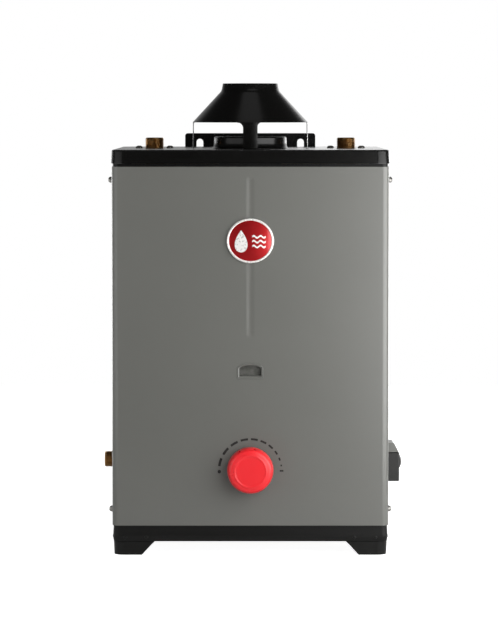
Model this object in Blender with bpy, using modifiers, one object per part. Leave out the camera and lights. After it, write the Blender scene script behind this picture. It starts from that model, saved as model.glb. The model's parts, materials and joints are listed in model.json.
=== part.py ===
"""Compact gas tank water heater with a draft hood, as an assembly of separate pieces.

Metres, +Z up, the front faces -Y. Everything is drawn round the middle of the jacket at floor
level, then hung on one empty that puts the origin under the middle of the overall box.
"""
import math

import bmesh
import bpy
from mathutils import Matrix, Vector

MM = 0.001
GAP = 0.3 * MM              # clearance between neighbouring solids
MERGE = 0.01 * MM           # merge distance of modifiers
SHARP = math.radians(40)    # edges sharper than this are not shaded smooth

# Levels above the floor
SKIRT_LOW = 18.7 * MM       # lower edge of the black base frame
JACKET_LOW = 41.0 * MM
JACKET_HIGH = 534.0 * MM
LID_LOW = 538.4 * MM
LID_HIGH = 557.2 * MM
TANK_LOW = 290.0 * MM
TANK_HIGH = 500.0 * MM
HOOD_RIM = LID_HIGH + 36.7 * MM
HOOD_TOP = LID_HIGH + 91.9 * MM
BRACKET_TOP = 577.0 * MM
SLOT_TOP = 568.7 * MM      # where a wall hook bears

# Outer half sizes of the casing (x, y)
JACKET = (190.0 * MM, 185.0 * MM)
FRAME = (188.5 * MM, 182.3 * MM)
SHEET = 1.0 * MM
REAR_SEAM = 183.7 * MM      # y of the jacket's folded rear edges
BRACKET_JOGGLE = 2.6 * MM   # from the back of the jacket to the bracket's offset part
BRACKET_SHEET = 2.0 * MM

# Pipes and openings
NIPPLE_X = 136.5 * MM
NIPPLE_RADIUS = 13.35 * MM  # 3/4 inch pipe
NIPPLE_TOP = LID_HIGH + 15.0 * MM
FLUE_RADIUS = 45.0 * MM
TANK_RADIUS = 166.0 * MM
SHIELD_RADIUS = 130.0 * MM
HOOD_LEG_RADIUS = 81.9 * MM
SIDE_FITTING_Y = -55.0 * MM     # gas inlet on the left, igniter on the right
GAS_Z = 118.0 * MM
ANODE_Y = 105.0 * MM
PROBE = (85.0 * MM, -112.0 * MM)    # x, y of the thermostat bulb
IGNITER_Z = 115.0 * MM

# Front panel
KNOB_Z = 118.5 * MM
KNOB_RADIUS = 31.8 * MM
KNOB_BACK = JACKET[1] + 6.0 * MM    # distance of the knob's back from the middle of the heater
KNOB_DEPTH = 20.2 * MM
KNOB_TRAVEL = 5.0 * MM
BADGE_Z = 433.0 * MM
BADGE = (32.4 * MM, 30.8 * MM)
WINDOW_LOW = 247.7 * MM
WINDOW_SHOULDER = 257.3 * MM
WINDOW_CROWN = 261.4 * MM
WINDOW_HALF = 14.75 * MM
WINDOW_LIP = 3.0 * MM

# Screws
SIDE_SCREW_Y = -165.0 * MM
SIDE_SCREW_LEVELS = {"upper": 516.0 * MM, "lower": 62.0 * MM}
LID_SCREW_OFFSET = 22.0 * MM
SCREW_SHANK = 1.8 * MM

PAINTS = {
    # name: (colour, metallic, roughness)
    "grey_paint": ((0.19, 0.19, 0.175), 0.0, 0.4),
    "black_enamel": ((0.012, 0.012, 0.012), 0.0, 0.2),
    "black_plastic": ((0.02, 0.02, 0.02), 0.0, 0.35),
    "red_plastic": ((0.84, 0.035, 0.04), 0.0, 0.35),
    "brass": ((0.72, 0.5, 0.22), 1.0, 0.3),
    "bright_metal": ((0.75, 0.75, 0.75), 1.0, 0.2),
    "steel": ((0.5, 0.5, 0.5), 1.0, 0.4),
    "glass_wool": ((0.75, 0.6, 0.25), 0.0, 0.95),
    "white_plastic": ((0.8, 0.8, 0.78), 0.0, 0.5),
    "glass": ((0.35, 0.35, 0.35), 0.0, 0.1),
    "copper": ((0.75, 0.35, 0.2), 1.0, 0.35),
}


# ---------------------------------------------------------------- scene helpers

def empty_scene():
    for obj in list(bpy.data.objects):
        bpy.data.objects.remove(obj, do_unlink=True)


def new_collection(name):
    collection = bpy.data.collections.new(name)
    bpy.context.scene.collection.children.link(collection)
    return collection


def make_paint(name):
    colour, metallic, roughness = PAINTS[name]
    material = bpy.data.materials.new(name)
    material.use_nodes = True
    shader = material.node_tree.nodes["Principled BSDF"]
    shader.inputs["Base Color"].default_value = (*colour, 1.0)
    shader.inputs["Metallic"].default_value = metallic
    shader.inputs["Roughness"].default_value = roughness
    material.diffuse_color = (*colour, 1.0)
    return material


empty_scene()
HEATER = new_collection("tank_water_heater")
CUTTERS = new_collection("cutters")
MATERIALS = {name: make_paint(name) for name in PAINTS}


def place(name, data, paint=None):
    """Link an object: a painted part, or a cutter when no paint is given."""
    obj = bpy.data.objects.new(name, data)
    if paint:
        data.materials.append(MATERIALS[paint])
        HEATER.objects.link(obj)
    else:
        CUTTERS.objects.link(obj)
        obj.hide_render = True
        obj.display_type = "WIRE"
    return obj


def place_mesh(name, bm, paint=None):
    bmesh.ops.recalc_face_normals(bm, faces=bm.faces)
    mesh = bpy.data.meshes.new(name)
    bm.to_mesh(mesh)
    bm.free()
    mesh.shade_smooth()
    mesh.set_sharp_from_angle(angle=SHARP)
    return place(name, mesh, paint)


def boolean(obj, tool, operation="DIFFERENCE"):
    modifier = obj.modifiers.new(f"{operation.lower()}_{tool.name}", "BOOLEAN")
    modifier.object = tool
    modifier.operation = operation
    modifier.solver = "EXACT"


def solidify(obj, thickness, offset=-1.0):
    modifier = obj.modifiers.new("sheet", "SOLIDIFY")
    modifier.thickness = thickness
    modifier.offset = offset
    modifier.use_even_offset = True


# ---------------------------------------------------------------- outlines

def arc(centre, radius, start, end, steps):
    """Points on an arc, angles in degrees."""
    angles = [math.radians(start + (end - start) * i / steps) for i in range(steps + 1)]
    return [(centre[0] + radius * math.cos(a), centre[1] + radius * math.sin(a)) for a in angles]


def rounded_rectangle(half_x, half_y, radius, steps=3):
    corners = [(1, 1, 0), (-1, 1, 90), (-1, -1, 180), (1, -1, 270)]
    points = []
    for sign_x, sign_y, start in corners:
        centre = (sign_x * (half_x - radius), sign_y * (half_y - radius))
        points += arc(centre, radius, start, start + 90, steps)
    return points


def round_corners(points, radii, steps=4):
    """An open path with its inner points rounded."""
    path = [points[0]]
    for before, corner, after, radius in zip(points, points[1:], points[2:], radii):
        corner = Vector(corner)
        towards = (Vector(before) - corner).normalized()
        away = (Vector(after) - corner).normalized()
        half_angle = towards.angle(away) / 2
        reach = radius / math.tan(half_angle)
        centre = corner + (towards + away).normalized() * radius / math.sin(half_angle)
        first = corner + towards * reach - centre
        turn = first.angle_signed(corner + away * reach - centre)
        for i in range(steps + 1):
            spoke = first.copy()
            spoke.rotate(Matrix.Rotation(-turn * i / steps, 2))
            path.append(tuple(centre + spoke))
    path.append(points[-1])
    return path


def arched_outline(half_width, low, shoulder, crown, steps=8):
    """A flat-bottomed outline with a shallow arched top, in x and z."""
    rise = crown - shoulder
    top = [math.radians(180 * i / steps) for i in range(steps + 1)]
    points = [(-half_width, low), (half_width, low)]
    return points + [(half_width * math.cos(a), shoulder + rise * math.sin(a)) for a in top]


# ---------------------------------------------------------------- solids

def block(name, low, high, paint=None, bevel=0.0, segments=2):
    bm = bmesh.new()
    size = Vector(high) - Vector(low)
    matrix = Matrix.Translation((Vector(low) + Vector(high)) / 2) @ Matrix.Diagonal((*size, 1.0))
    bmesh.ops.create_cube(bm, size=1.0, matrix=matrix)
    if bevel:
        bmesh.ops.bevel(bm, geom=list(bm.edges), offset=bevel, segments=segments, affect="EDGES",
                        profile=0.5)
    return place_mesh(name, bm, paint)


AXES = {
    "x": Matrix.Rotation(math.radians(90), 4, "Y"),
    "y": Matrix.Rotation(math.radians(-90), 4, "X"),
    "z": Matrix.Identity(4),
}


def cylinder(name, radius, start, length, axis, paint=None, segments=32):
    """A cylinder that starts at a point and runs along +X, +Y or +Z."""
    bm = bmesh.new()
    bmesh.ops.create_cone(bm, cap_ends=True, segments=segments, radius1=radius, radius2=radius,
                          depth=length, matrix=Matrix.Translation((0, 0, length / 2)))
    bmesh.ops.transform(bm, matrix=Matrix.Translation(start) @ AXES[axis], verts=bm.verts)
    return place_mesh(name, bm, paint)


def turned(name, profile, paint, location=(0, 0, 0), rotation=(0, 0, 0), segments=30, scale_x=1.0,
           closed=True):
    """A profile of (radius, height) points turned about the object's own Z."""
    bm = bmesh.new()
    verts = [bm.verts.new((radius, 0, height)) for radius, height in profile]
    for first, second in zip(verts, verts[1:]):
        bm.edges.new((first, second))
    if closed:
        bm.edges.new((verts[-1], verts[0]))
    mesh = bpy.data.meshes.new(name)
    bm.to_mesh(mesh)
    bm.free()
    obj = place(name, mesh, paint)
    obj.location = location
    obj.rotation_euler = rotation
    obj.scale = (scale_x, 1.0, 1.0)
    screw = obj.modifiers.new("turn", "SCREW")
    screw.axis = "Z"
    screw.steps = segments
    screw.render_steps = segments
    screw.use_merge_vertices = True
    screw.merge_threshold = MERGE
    screw.use_smooth_shade = True
    return obj


def pipe_profile(outer, inner, low, high):
    """Closed profile of a plain ring or tube, down its outer side first."""
    return [(outer, high), (outer, low), (inner, low), (inner, high)]


def plate(name, outlines, thickness, paint, location=(0, 0, 0), rotation=(0, 0, 0)):
    """A flat plate, middle of its thickness at its location: the first outline is its edge."""
    curve = bpy.data.curves.new(name, "CURVE")
    curve.dimensions = "2D"
    curve.fill_mode = "BOTH"
    curve.extrude = thickness / 2
    for outline in outlines:
        spline = curve.splines.new("POLY")
        spline.points.add(len(outline) - 1)
        for point, (x, y) in zip(spline.points, outline):
            point.co = (x, y, 0, 1)
        spline.use_cyclic_u = True
    guide = bpy.data.objects.new(name + "_outline", curve)
    CUTTERS.objects.link(guide)
    bpy.context.view_layer.update()
    graph = bpy.context.evaluated_depsgraph_get()
    mesh = bpy.data.meshes.new_from_object(guide.evaluated_get(graph))
    bpy.data.objects.remove(guide, do_unlink=True)
    bm = bmesh.new()
    bm.from_mesh(mesh)
    bmesh.ops.remove_doubles(bm, verts=bm.verts, dist=MERGE)
    bmesh.ops.recalc_face_normals(bm, faces=bm.faces)
    bm.to_mesh(mesh)
    bm.free()
    mesh.name = name
    obj = place(name, mesh, paint)
    obj.location = location
    obj.rotation_euler = rotation
    return obj


UPRIGHT = (math.radians(90), 0, 0)      # turns a plate's x, y into x, z


def tube(name, route, radius, paint, resolution=1, sizes=None):
    """A bent tube or wire along a polyline, with filled ends."""
    curve = bpy.data.curves.new(name, "CURVE")
    curve.dimensions = "3D"
    curve.bevel_depth = radius
    curve.bevel_resolution = resolution
    curve.use_fill_caps = True
    spline = curve.splines.new("POLY")
    spline.points.add(len(route) - 1)
    for i, (point, position) in enumerate(zip(spline.points, route)):
        point.co = (*position, 1)
        point.radius = sizes[i] if sizes else 1.0
    return place(name, curve, paint)


def smooth_route(points, steps=3):
    """Points on a Catmull-Rom curve through the given points."""
    knots = [Vector(p) for p in points]
    knots = [2 * knots[0] - knots[1]] + knots + [2 * knots[-1] - knots[-2]]
    route = []
    for a, b, c, d in zip(knots, knots[1:], knots[2:], knots[3:]):
        for i in range(steps):
            t = i / steps
            route.append(0.5 * (2 * b + (c - a) * t + (2 * a - 5 * b + 4 * c - d) * t ** 2
                                + (3 * b - a - 3 * c + d) * t ** 3))
    route.append(knots[-2])
    return route


def ribbon(name, path, low, high, thickness, paint, closed=False, lip=0.0):
    """Upright sheet along a path in x and y, turned inwards to the right of the path.

    low is one level, or one for each point. With a lip, the lowest edge is folded inwards.
    """
    lows = low if isinstance(low, list) else [low] * len(path)
    bm = bmesh.new()
    top = [bm.verts.new((x, y, high)) for x, y in path]
    bottom = [bm.verts.new((x, y, z)) for (x, y), z in zip(path, lows)]
    count = len(path)
    spans = [(i, (i + 1) % count) for i in range(count if closed else count - 1)]
    for i, j in spans:
        bm.faces.new((top[i], top[j], bottom[j], bottom[i]))
    if lip:
        floor = min(lows)
        inner = {}
        for i in range(count):
            if lows[i] > floor:
                continue
            before = Vector(path[max(i - 1, 0)])
            after = Vector(path[min(i + 1, count - 1)])
            along = (after - before).normalized()
            inward = Vector((along.y, -along.x))
            x, y = Vector(path[i]) + inward * lip
            inner[i] = bm.verts.new((x, y, floor))
        for i, j in spans:
            if i in inner and j in inner:
                bm.faces.new((bottom[i], bottom[j], inner[j], inner[i]))
    mesh = bpy.data.meshes.new(name)
    bm.to_mesh(mesh)
    bm.free()
    mesh.shade_smooth()
    mesh.set_sharp_from_angle(angle=SHARP)
    obj = place(name, mesh, paint)
    solidify(obj, thickness)
    return obj


# ---------------------------------------------------------------- casing

def casing_cutters():
    """Holes that the jacket and the frames share: side screws, gas inlet, igniter."""
    cutters = {}
    for level, z in SIDE_SCREW_LEVELS.items():
        start = (-JACKET[0] - 5 * MM, SIDE_SCREW_Y, z)
        length = 2 * JACKET[0] + 10 * MM
        cutters[level] = cylinder(f"cut_side_screws_{level}", SCREW_SHANK + GAP, start, length, "x",
                                  segments=12)
    left = (-JACKET[0] - 5 * MM, SIDE_FITTING_Y, GAS_Z)
    cutters["gas"] = cylinder("cut_gas_inlet", 12.0 * MM, left, 10 * MM, "x")
    right = (JACKET[0] - 5 * MM, SIDE_FITTING_Y, IGNITER_Z)
    cutters["igniter"] = cylinder("cut_igniter", 8.0 * MM, right, 10 * MM, "x")
    return cutters


def jacket_wrap(cutters):
    rear = REAR_SEAM
    fold = JACKET[0] - 12 * MM
    corners = [(fold, rear), (JACKET[0], rear), (JACKET[0], -JACKET[1]), (-JACKET[0], -JACKET[1]),
               (-JACKET[0], rear), (-fold, rear)]
    path = round_corners(corners, [2.5 * MM, 9 * MM, 9 * MM, 2.5 * MM], steps=5)
    obj = ribbon("jacket_wrap", path, JACKET_LOW, JACKET_HIGH, SHEET, "grey_paint")
    boolean(obj, cutters["upper"])
    boolean(obj, cutters["lower"])
    boolean(obj, cutters["gas"])
    boolean(obj, cutters["igniter"])
    shaft = cylinder("cut_knob_shaft", 9 * MM, (0, -JACKET[1] - 5 * MM, KNOB_Z), 10 * MM, "y")
    boolean(obj, shaft)
    edge = WINDOW_LIP + GAP
    outline = arched_outline(WINDOW_HALF + edge, WINDOW_LOW - edge, WINDOW_SHOULDER,
                             WINDOW_CROWN + edge)
    window = plate("cut_window", [outline], 10 * MM, None, (0, -JACKET[1], 0), UPRIGHT)
    boolean(obj, window)


def frame_band(name, low, high, cutter):
    """Closed band of sheet that holds the jacket together at the top or at the base."""
    path = rounded_rectangle(*FRAME, 8 * MM)
    path.reverse()
    obj = ribbon(name, path, low, high, SHEET, "black_enamel", closed=True)
    boolean(obj, cutter)


def base_plate():
    inset = SHEET + GAP
    edge = rounded_rectangle(FRAME[0] - inset, FRAME[1] - inset, 7 * MM)
    air_hole = arc((0, 0), 60 * MM, 0, 360, 40)[:-1]
    plate("base_plate", [edge, air_hole], 1.2 * MM, "black_enamel", (0, 0, 42.6 * MM))


def legs():
    """Four corner legs: two flaps each, slanted off towards the skirt, on a folded foot."""
    flap_top, flap_foot = 55 * MM, 38 * MM
    corner_x = FRAME[0] - SHEET - GAP
    corner_y = FRAME[1] - SHEET - GAP
    for fore, sign_y in (("front", -1), ("rear", 1)):
        for side, sign_x in (("left", -1), ("right", 1)):
            def point(along_x, along_y):
                return (sign_x * (corner_x - along_x), sign_y * (corner_y - along_y))
            bend = round_corners([point(flap_foot, 0), point(0, 0), point(0, flap_foot)], [14 * MM])
            path = [point(flap_top, 0)] + bend + [point(0, flap_top)]
            if sign_x * sign_y < 0:
                path.reverse()
            lows = [SKIRT_LOW] + [0.0] * len(bend) + [SKIRT_LOW]
            ribbon(f"leg_{fore}_{side}", path, lows, 41.5 * MM, 1.5 * MM, "black_enamel",
                   lip=12 * MM)


def rear_panel():
    half_x = JACKET[0] - 1 * MM
    low, high = (-half_x, REAR_SEAM + GAP, JACKET_LOW), (half_x, JACKET[1], JACKET_HIGH)
    block("rear_panel", low, high, "grey_paint")


def wall_bracket():
    """Joggled steel strap on the back with two hanging slots above the lid."""
    low_y, high_y = JACKET[1] + GAP, JACKET[1] + BRACKET_JOGGLE
    half, top = 97 * MM, BRACKET_TOP
    profile = [(low_y, 455 * MM), (low_y, 526 * MM), (high_y, 532 * MM), (high_y, top)]
    profile += [(y + BRACKET_SHEET, z) for y, z in reversed(profile)]
    bm = bmesh.new()
    verts = [bm.verts.new((-half, y, z)) for y, z in profile]
    face = bm.faces.new(verts)
    grown = bmesh.ops.extrude_face_region(bm, geom=[face])["geom"]
    moved = [item for item in grown if isinstance(item, bmesh.types.BMVert)]
    bmesh.ops.translate(bm, vec=(2 * half, 0, 0), verts=moved)
    corners = []
    for edge in bm.edges:
        a, b = edge.verts
        if abs(a.co.z - top) < MERGE and abs(b.co.z - top) < MERGE and abs(a.co.x - b.co.x) < MERGE:
            corners.append(edge)
    bmesh.ops.bevel(bm, geom=corners, offset=4 * MM, segments=4, affect="EDGES", profile=0.5)
    obj = place_mesh("wall_bracket", bm, "black_enamel")
    slot_radius = 5 * MM
    for side, x in (("left", -75 * MM), ("right", 75 * MM)):
        upper = SLOT_TOP - slot_radius
        outline = arc((x, upper), slot_radius, 0, 180, 8)
        outline += arc((x, upper - 16 * MM), slot_radius, 180, 360, 8)
        slot = plate(f"cut_bracket_slot_{side}", [outline], 12 * MM, None, (0, high_y, 0), UPRIGHT)
        boolean(obj, slot)


def lid():
    """Deep-drawn cover with a rolled top edge and a rim that flares slightly."""
    flare = 1.25 * MM
    bm = bmesh.new()
    outline = rounded_rectangle(*JACKET, 16 * MM, steps=4)
    top_radius = 2.5 * MM
    rings = []
    levels = [(-flare, LID_LOW)]
    for x, z in arc((top_radius, LID_HIGH - top_radius), top_radius, 180, 90, 2):
        levels.append((x, z))
    for inset, z in levels:
        scale_x = (JACKET[0] - inset) / JACKET[0]
        scale_y = (JACKET[1] - inset) / JACKET[1]
        rings.append([bm.verts.new((x * scale_x, y * scale_y, z)) for x, y in outline])
    count = len(outline)
    for lower, upper in zip(rings, rings[1:]):
        for i in range(count):
            j = (i + 1) % count
            bm.faces.new((lower[i], lower[j], upper[j], upper[i]))
    bm.faces.new(rings[-1])
    mesh = bpy.data.meshes.new("lid")
    bm.to_mesh(mesh)
    bm.free()
    mesh.shade_smooth()
    mesh.set_sharp_from_angle(angle=SHARP)
    obj = place("lid", mesh, "black_enamel")
    solidify(obj, SHEET)
    base, depth = LID_HIGH - 5 * MM, 10 * MM
    boolean(obj, cylinder("cut_lid_flue", FLUE_RADIUS + 1 * MM, (0, 0, base), depth, "z"))
    for side, sign in (("left", -1), ("right", 1)):
        hole = cylinder(f"cut_lid_nipple_{side}", NIPPLE_RADIUS + 0.8 * MM,
                        (sign * NIPPLE_X, 0, base), depth, "z", segments=24)
        boolean(obj, hole)
    for name, x in lid_screw_places():
        hole = cylinder(f"cut_{name}", SCREW_SHANK + GAP, (x, 0, base), depth, "z", segments=12)
        boolean(obj, hole)
    for name, low, high in hood_leg_boxes(half_width=4.5 * MM, spare=0.6 * MM):
        slot = block(f"cut_lid_slot_{name}", (*low, base), (*high, base + depth))
        boolean(obj, slot)


def lid_screw_places():
    places = []
    for side, sign in (("left", -1), ("right", 1)):
        for spot, shift in (("outer", LID_SCREW_OFFSET), ("inner", -LID_SCREW_OFFSET)):
            places.append((f"lid_screw_{side}_{spot}", sign * (NIPPLE_X + shift)))
    return places


def screw(name, location, rotation, head=5.0 * MM, rise=3.5 * MM, length=11 * MM):
    """Dome-headed sheet-metal screw, head along its own +Z."""
    dome = [(head * math.sin(math.radians(a)), rise * math.cos(math.radians(a))) for a in
            (0, 25, 50, 70)]
    profile = dome + [(head, 0.6 * MM), (head, 0), (SCREW_SHANK, 0),
                      (SCREW_SHANK, 2 * MM - length), (0, -length)]
    turned(name, profile, "bright_metal", location, rotation, segments=16, closed=False)


def screws():
    for name, x in lid_screw_places():
        screw(name, (x, 0, LID_HIGH + GAP), (0, 0, 0))
    for level, z in SIDE_SCREW_LEVELS.items():
        for side, sign in (("left", -1), ("right", 1)):
            location = (sign * (JACKET[0] + GAP), SIDE_SCREW_Y, z)
            screw(f"side_screw_{side}_{level}", location, (0, math.radians(sign * 90), 0),
                  head=4.2 * MM, rise=4.8 * MM)


# ---------------------------------------------------------------- flue and draft hood

def flue_collar():
    foot = LID_HIGH + GAP
    top = LID_HIGH + 16 * MM
    outer = [(48.3, top / MM), (50.3, top / MM), (51.5, top / MM - 1.2), (51.9, foot / MM + 4.0),
             (52.8, foot / MM + 1.4), (55.2, foot / MM)]
    inner = [(53.0, foot / MM), (51.0, foot / MM + 2.2), (50.4, foot / MM + 4.6),
             (50.2, top / MM - 1.6), (48.3, top / MM - 1.4)]
    turned("flue_collar", [(r * MM, z * MM) for r, z in outer + inner], "black_enamel")


def hood_leg_boxes(half_width, spare):
    """Corners in x and y of the four legs under the hood's rim."""
    near = HOOD_LEG_RADIUS - 1.2 * MM - spare
    far = HOOD_LEG_RADIUS + spare
    return [
        ("front", (-half_width, -far), (half_width, -near)),
        ("rear", (-half_width, near), (half_width, far)),
        ("left", (-far, -half_width), (-near, half_width)),
        ("right", (near, -half_width), (far, half_width)),
    ]


def draft_hood():
    """Spun cone with a 3 inch collar, standing on four sheet legs tabbed into the lid."""
    top, rim = HOOD_TOP / MM, HOOD_RIM / MM
    wall = 1.0
    outer = [(39.25, top), (40.4, top - 7.2), (41.6, top - 11.0), (44.4, top - 14.4), (81.9, rim)]
    inner = [(80.4, rim), (43.4, top - 15.4), (40.7, top - 12.2), (39.4, top - 7.4),
             (39.25 - wall, top)]
    profile = [(r * MM, z * MM) for r, z in outer + inner]
    obj = turned("draft_hood", profile, "black_enamel", segments=40)
    for name, low, high in hood_leg_boxes(half_width=10.2 * MM, spare=0.0):
        leg = block(f"hood_leg_{name}", (*low, LID_HIGH + GAP), (*high, HOOD_RIM + 1 * MM))
        boolean(obj, leg, "UNION")
    for name, low, high in hood_leg_boxes(half_width=3.5 * MM, spare=0.0):
        tab = block(f"hood_tab_{name}", (*low, LID_HIGH - 6 * MM), (*high, LID_HIGH + 5 * MM))
        boolean(obj, tab, "UNION")


def flue():
    turned("flue_tube", pipe_profile(FLUE_RADIUS, FLUE_RADIUS - 1.6 * MM, 284 * MM,
                                     LID_HIGH + 13 * MM), "steel")
    half, low, high, steps = 40 * MM, 300 * MM, 545 * MM, 22
    twist = math.radians(540)
    bm = bmesh.new()
    rows = []
    for i in range(steps + 1):
        angle = twist * i / steps
        x, y = half * math.cos(angle), half * math.sin(angle)
        z = low + (high - low) * i / steps
        rows.append([bm.verts.new((x, y, z)), bm.verts.new((0, 0, z)), bm.verts.new((-x, -y, z))])
    for lower, upper in zip(rows, rows[1:]):
        for k in (0, 1):
            bm.faces.new((lower[k], lower[k + 1], upper[k + 1], upper[k]))
    obj = place_mesh("flue_baffle", bm, "steel")
    solidify(obj, 1.2 * MM, offset=0.0)


# ---------------------------------------------------------------- tank and insulation

def tank_shell():
    """Annular steel tank: the flue runs through it, with ports for pipes, anode and probe."""
    hole, knuckle = FLUE_RADIUS + GAP, 15 * MM
    centre = TANK_RADIUS - knuckle
    profile = [(hole, TANK_HIGH)]
    profile += arc((centre, TANK_HIGH - knuckle), knuckle, 90, 0, 2)
    profile += arc((centre, TANK_LOW + knuckle), knuckle, 0, -90, 2)
    profile += [(hole, TANK_LOW)]
    obj = turned("tank_shell", profile, "steel", closed=False)
    solidify(obj, 2 * MM)
    for side, sign in (("left", -1), ("right", 1)):
        port = cylinder(f"cut_tank_port_{side}", NIPPLE_RADIUS + GAP,
                        (sign * NIPPLE_X, 0, TANK_HIGH - 5 * MM), 10 * MM, "z", segments=24)
        boolean(obj, port)
    anode_port = cylinder("cut_anode_port", 8.5 * MM, (0, ANODE_Y, TANK_HIGH - 5 * MM), 10 * MM, "z",
                          segments=20)
    boolean(obj, anode_port)
    probe_port = cylinder("cut_probe_port", 5 * MM, (*PROBE, TANK_LOW - 5 * MM), 10 * MM, "z",
                          segments=16)
    boolean(obj, probe_port)


def water_pipes():
    for name, sign in (("cold_inlet_nipple", -1), ("hot_outlet_nipple", 1)):
        profile = pipe_profile(NIPPLE_RADIUS, 10.4 * MM, TANK_HIGH - 5 * MM, NIPPLE_TOP)
        turned(name, profile, "brass", (sign * NIPPLE_X, 0, 0), segments=28)
    turned("dip_tube", pipe_profile(9.8 * MM, 8 * MM, 305 * MM, LID_HIGH - 7.2 * MM), "white_plastic",
           (-NIPPLE_X, 0, 0), segments=24)
    rod = [(0, 508), (11, 508), (11, 500.4), (8, 500.4), (8, 330), (0, 330)]
    turned("anode_rod", [(r * MM, z * MM) for r, z in rod], "steel", (0, ANODE_Y, 0), segments=18,
           closed=False)


def insulation():
    turned("insulation_wrap", pipe_profile(180 * MM, TANK_RADIUS + 0.6 * MM, 294 * MM, 498 * MM),
           "glass_wool")
    edge = rounded_rectangle(176 * MM, 172 * MM, 12 * MM)
    holes = [arc((0, 0), FLUE_RADIUS + 1 * MM, 0, 360, 32)[:-1]]
    for sign in (-1, 1):
        holes.append(arc((sign * NIPPLE_X, 0), NIPPLE_RADIUS + 1 * MM, 0, 360, 20)[:-1])
    plate("insulation_top_pad", [edge] + holes, 22 * MM, "glass_wool", (0, 0, 521 * MM))


def heat_shield():
    """Sheet wall round the burner, which also carries the tank."""
    profile = pipe_profile(SHIELD_RADIUS, SHIELD_RADIUS - 1 * MM, 43.5 * MM, TANK_LOW - GAP)
    obj = turned("heat_shield", profile, "steel")
    door = block("cut_shield_door", (-50 * MM, -150 * MM, 55 * MM), (50 * MM, -90 * MM, 190 * MM))
    view = block("cut_shield_view", (-20 * MM, -150 * MM, 242 * MM), (20 * MM, -90 * MM, 268 * MM))
    boolean(obj, door)
    boolean(obj, view)


# ---------------------------------------------------------------- burner and pilot

def burner():
    head = [(0, 222), (60, 220), (66, 214), (66, 208), (40, 200), (16, 190), (13, 170), (16, 150),
            (14.5, 150), (11.5, 170), (14.2, 191.5), (38.5, 202), (63.5, 209.5), (63.5, 213),
            (59, 218), (0, 219.5)]
    turned("main_burner", [(r * MM, z * MM) for r, z in head], "steel", segments=24, closed=False)
    half = SHIELD_RADIUS - 3.5 * MM
    edge = [(-half, -15 * MM), (half, -15 * MM), (half, 15 * MM), (-half, 15 * MM)]
    throat = arc((0, 0), 14.6 * MM, 0, 360, 24)[:-1]
    plate("burner_support_bar", [edge, throat], 2 * MM, "steel", (0, 0, 175 * MM))
    orifice = [(0, 146), (2.5, 146), (4, 141), (8, 139), (8, 132), (0, 132)]
    turned("gas_orifice", [(r * MM, z * MM) for r, z in orifice], "brass", segments=6, closed=False)


PILOT_Y = -80 * MM
PILOT_SPOTS = {"thermocouple": -14 * MM, "pilot": 0.0, "electrode": 14 * MM}


def pilot():
    """Pilot burner, thermocouple and spark electrode side by side on one small bracket."""
    edge = rounded_rectangle(24 * MM, 8 * MM, 2 * MM)
    holes = [arc((x, 0), 3.6 * MM, 0, 360, 12)[:-1] for x in PILOT_SPOTS.values()]
    plate("pilot_bracket", [edge] + holes, 1.5 * MM, "steel", (0, PILOT_Y, 195 * MM))
    nose = [(0, 228), (3, 228), (4.6, 222), (4.6, 198), (3.2, 198), (3.2, 188), (0, 188)]
    turned("pilot_burner", [(r * MM, z * MM) for r, z in nose], "brass", (0, PILOT_Y, 0),
           segments=16, closed=False)
    pin = [(0, 238), (0.9, 238), (1.0, 218), (3.2, 216), (3.2, 188), (0, 188)]
    turned("igniter_electrode", [(r * MM, z * MM) for r, z in pin], "white_plastic",
           (PILOT_SPOTS["electrode"], PILOT_Y, 0), segments=14, closed=False)

    valve_back = VALVE_BACK + GAP
    tube("pilot_gas_tube", smooth_route([
        (-10 * MM, valve_back, 136 * MM), (-10 * MM, -108 * MM, 137 * MM),
        (-4 * MM, -92 * MM, 150 * MM), (0, PILOT_Y, 170 * MM), (0, PILOT_Y, 187.6 * MM)]),
        2 * MM, "copper")
    tip = PILOT_SPOTS["thermocouple"]
    lead = smooth_route([
        (-26 * MM, valve_back, 124 * MM), (-26 * MM, -108 * MM, 126 * MM),
        (-20 * MM, -92 * MM, 145 * MM), (tip, PILOT_Y, 172 * MM), (tip, PILOT_Y, 200 * MM)])
    sheath = [Vector((tip, PILOT_Y, z * MM)) for z in (201, 232, 235)]
    sizes = [1.0] * len(lead) + [1.8, 1.8, 0.8]
    tube("thermocouple", lead + sheath, 1.4 * MM, "copper", sizes=sizes)


# ---------------------------------------------------------------- gas control

VALVE_FRONT = -172 * MM
VALVE_BACK = -122 * MM
BONNET_FRONT = -183.6 * MM
BORE_RADIUS = 6.4 * MM
BORE_END = -144 * MM
STEM_RADIUS = 4 * MM
STEM_END = -163 * MM


def gas_control_valve():
    low, high = (-38 * MM, VALVE_FRONT, 88 * MM), (38 * MM, VALVE_BACK, 152 * MM)
    obj = block("gas_control_valve", low, high, "steel", bevel=3 * MM)
    bonnet = cylinder("valve_bonnet", 14 * MM, (0, BONNET_FRONT, KNOB_Z), 15 * MM, "y", segments=28)
    boolean(obj, bonnet, "UNION")
    bore_start = BONNET_FRONT - 2 * MM
    bore = cylinder("cut_valve_bore", BORE_RADIUS, (0, bore_start, KNOB_Z), BORE_END - bore_start,
                    "y", segments=28)
    boolean(obj, bore)


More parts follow.
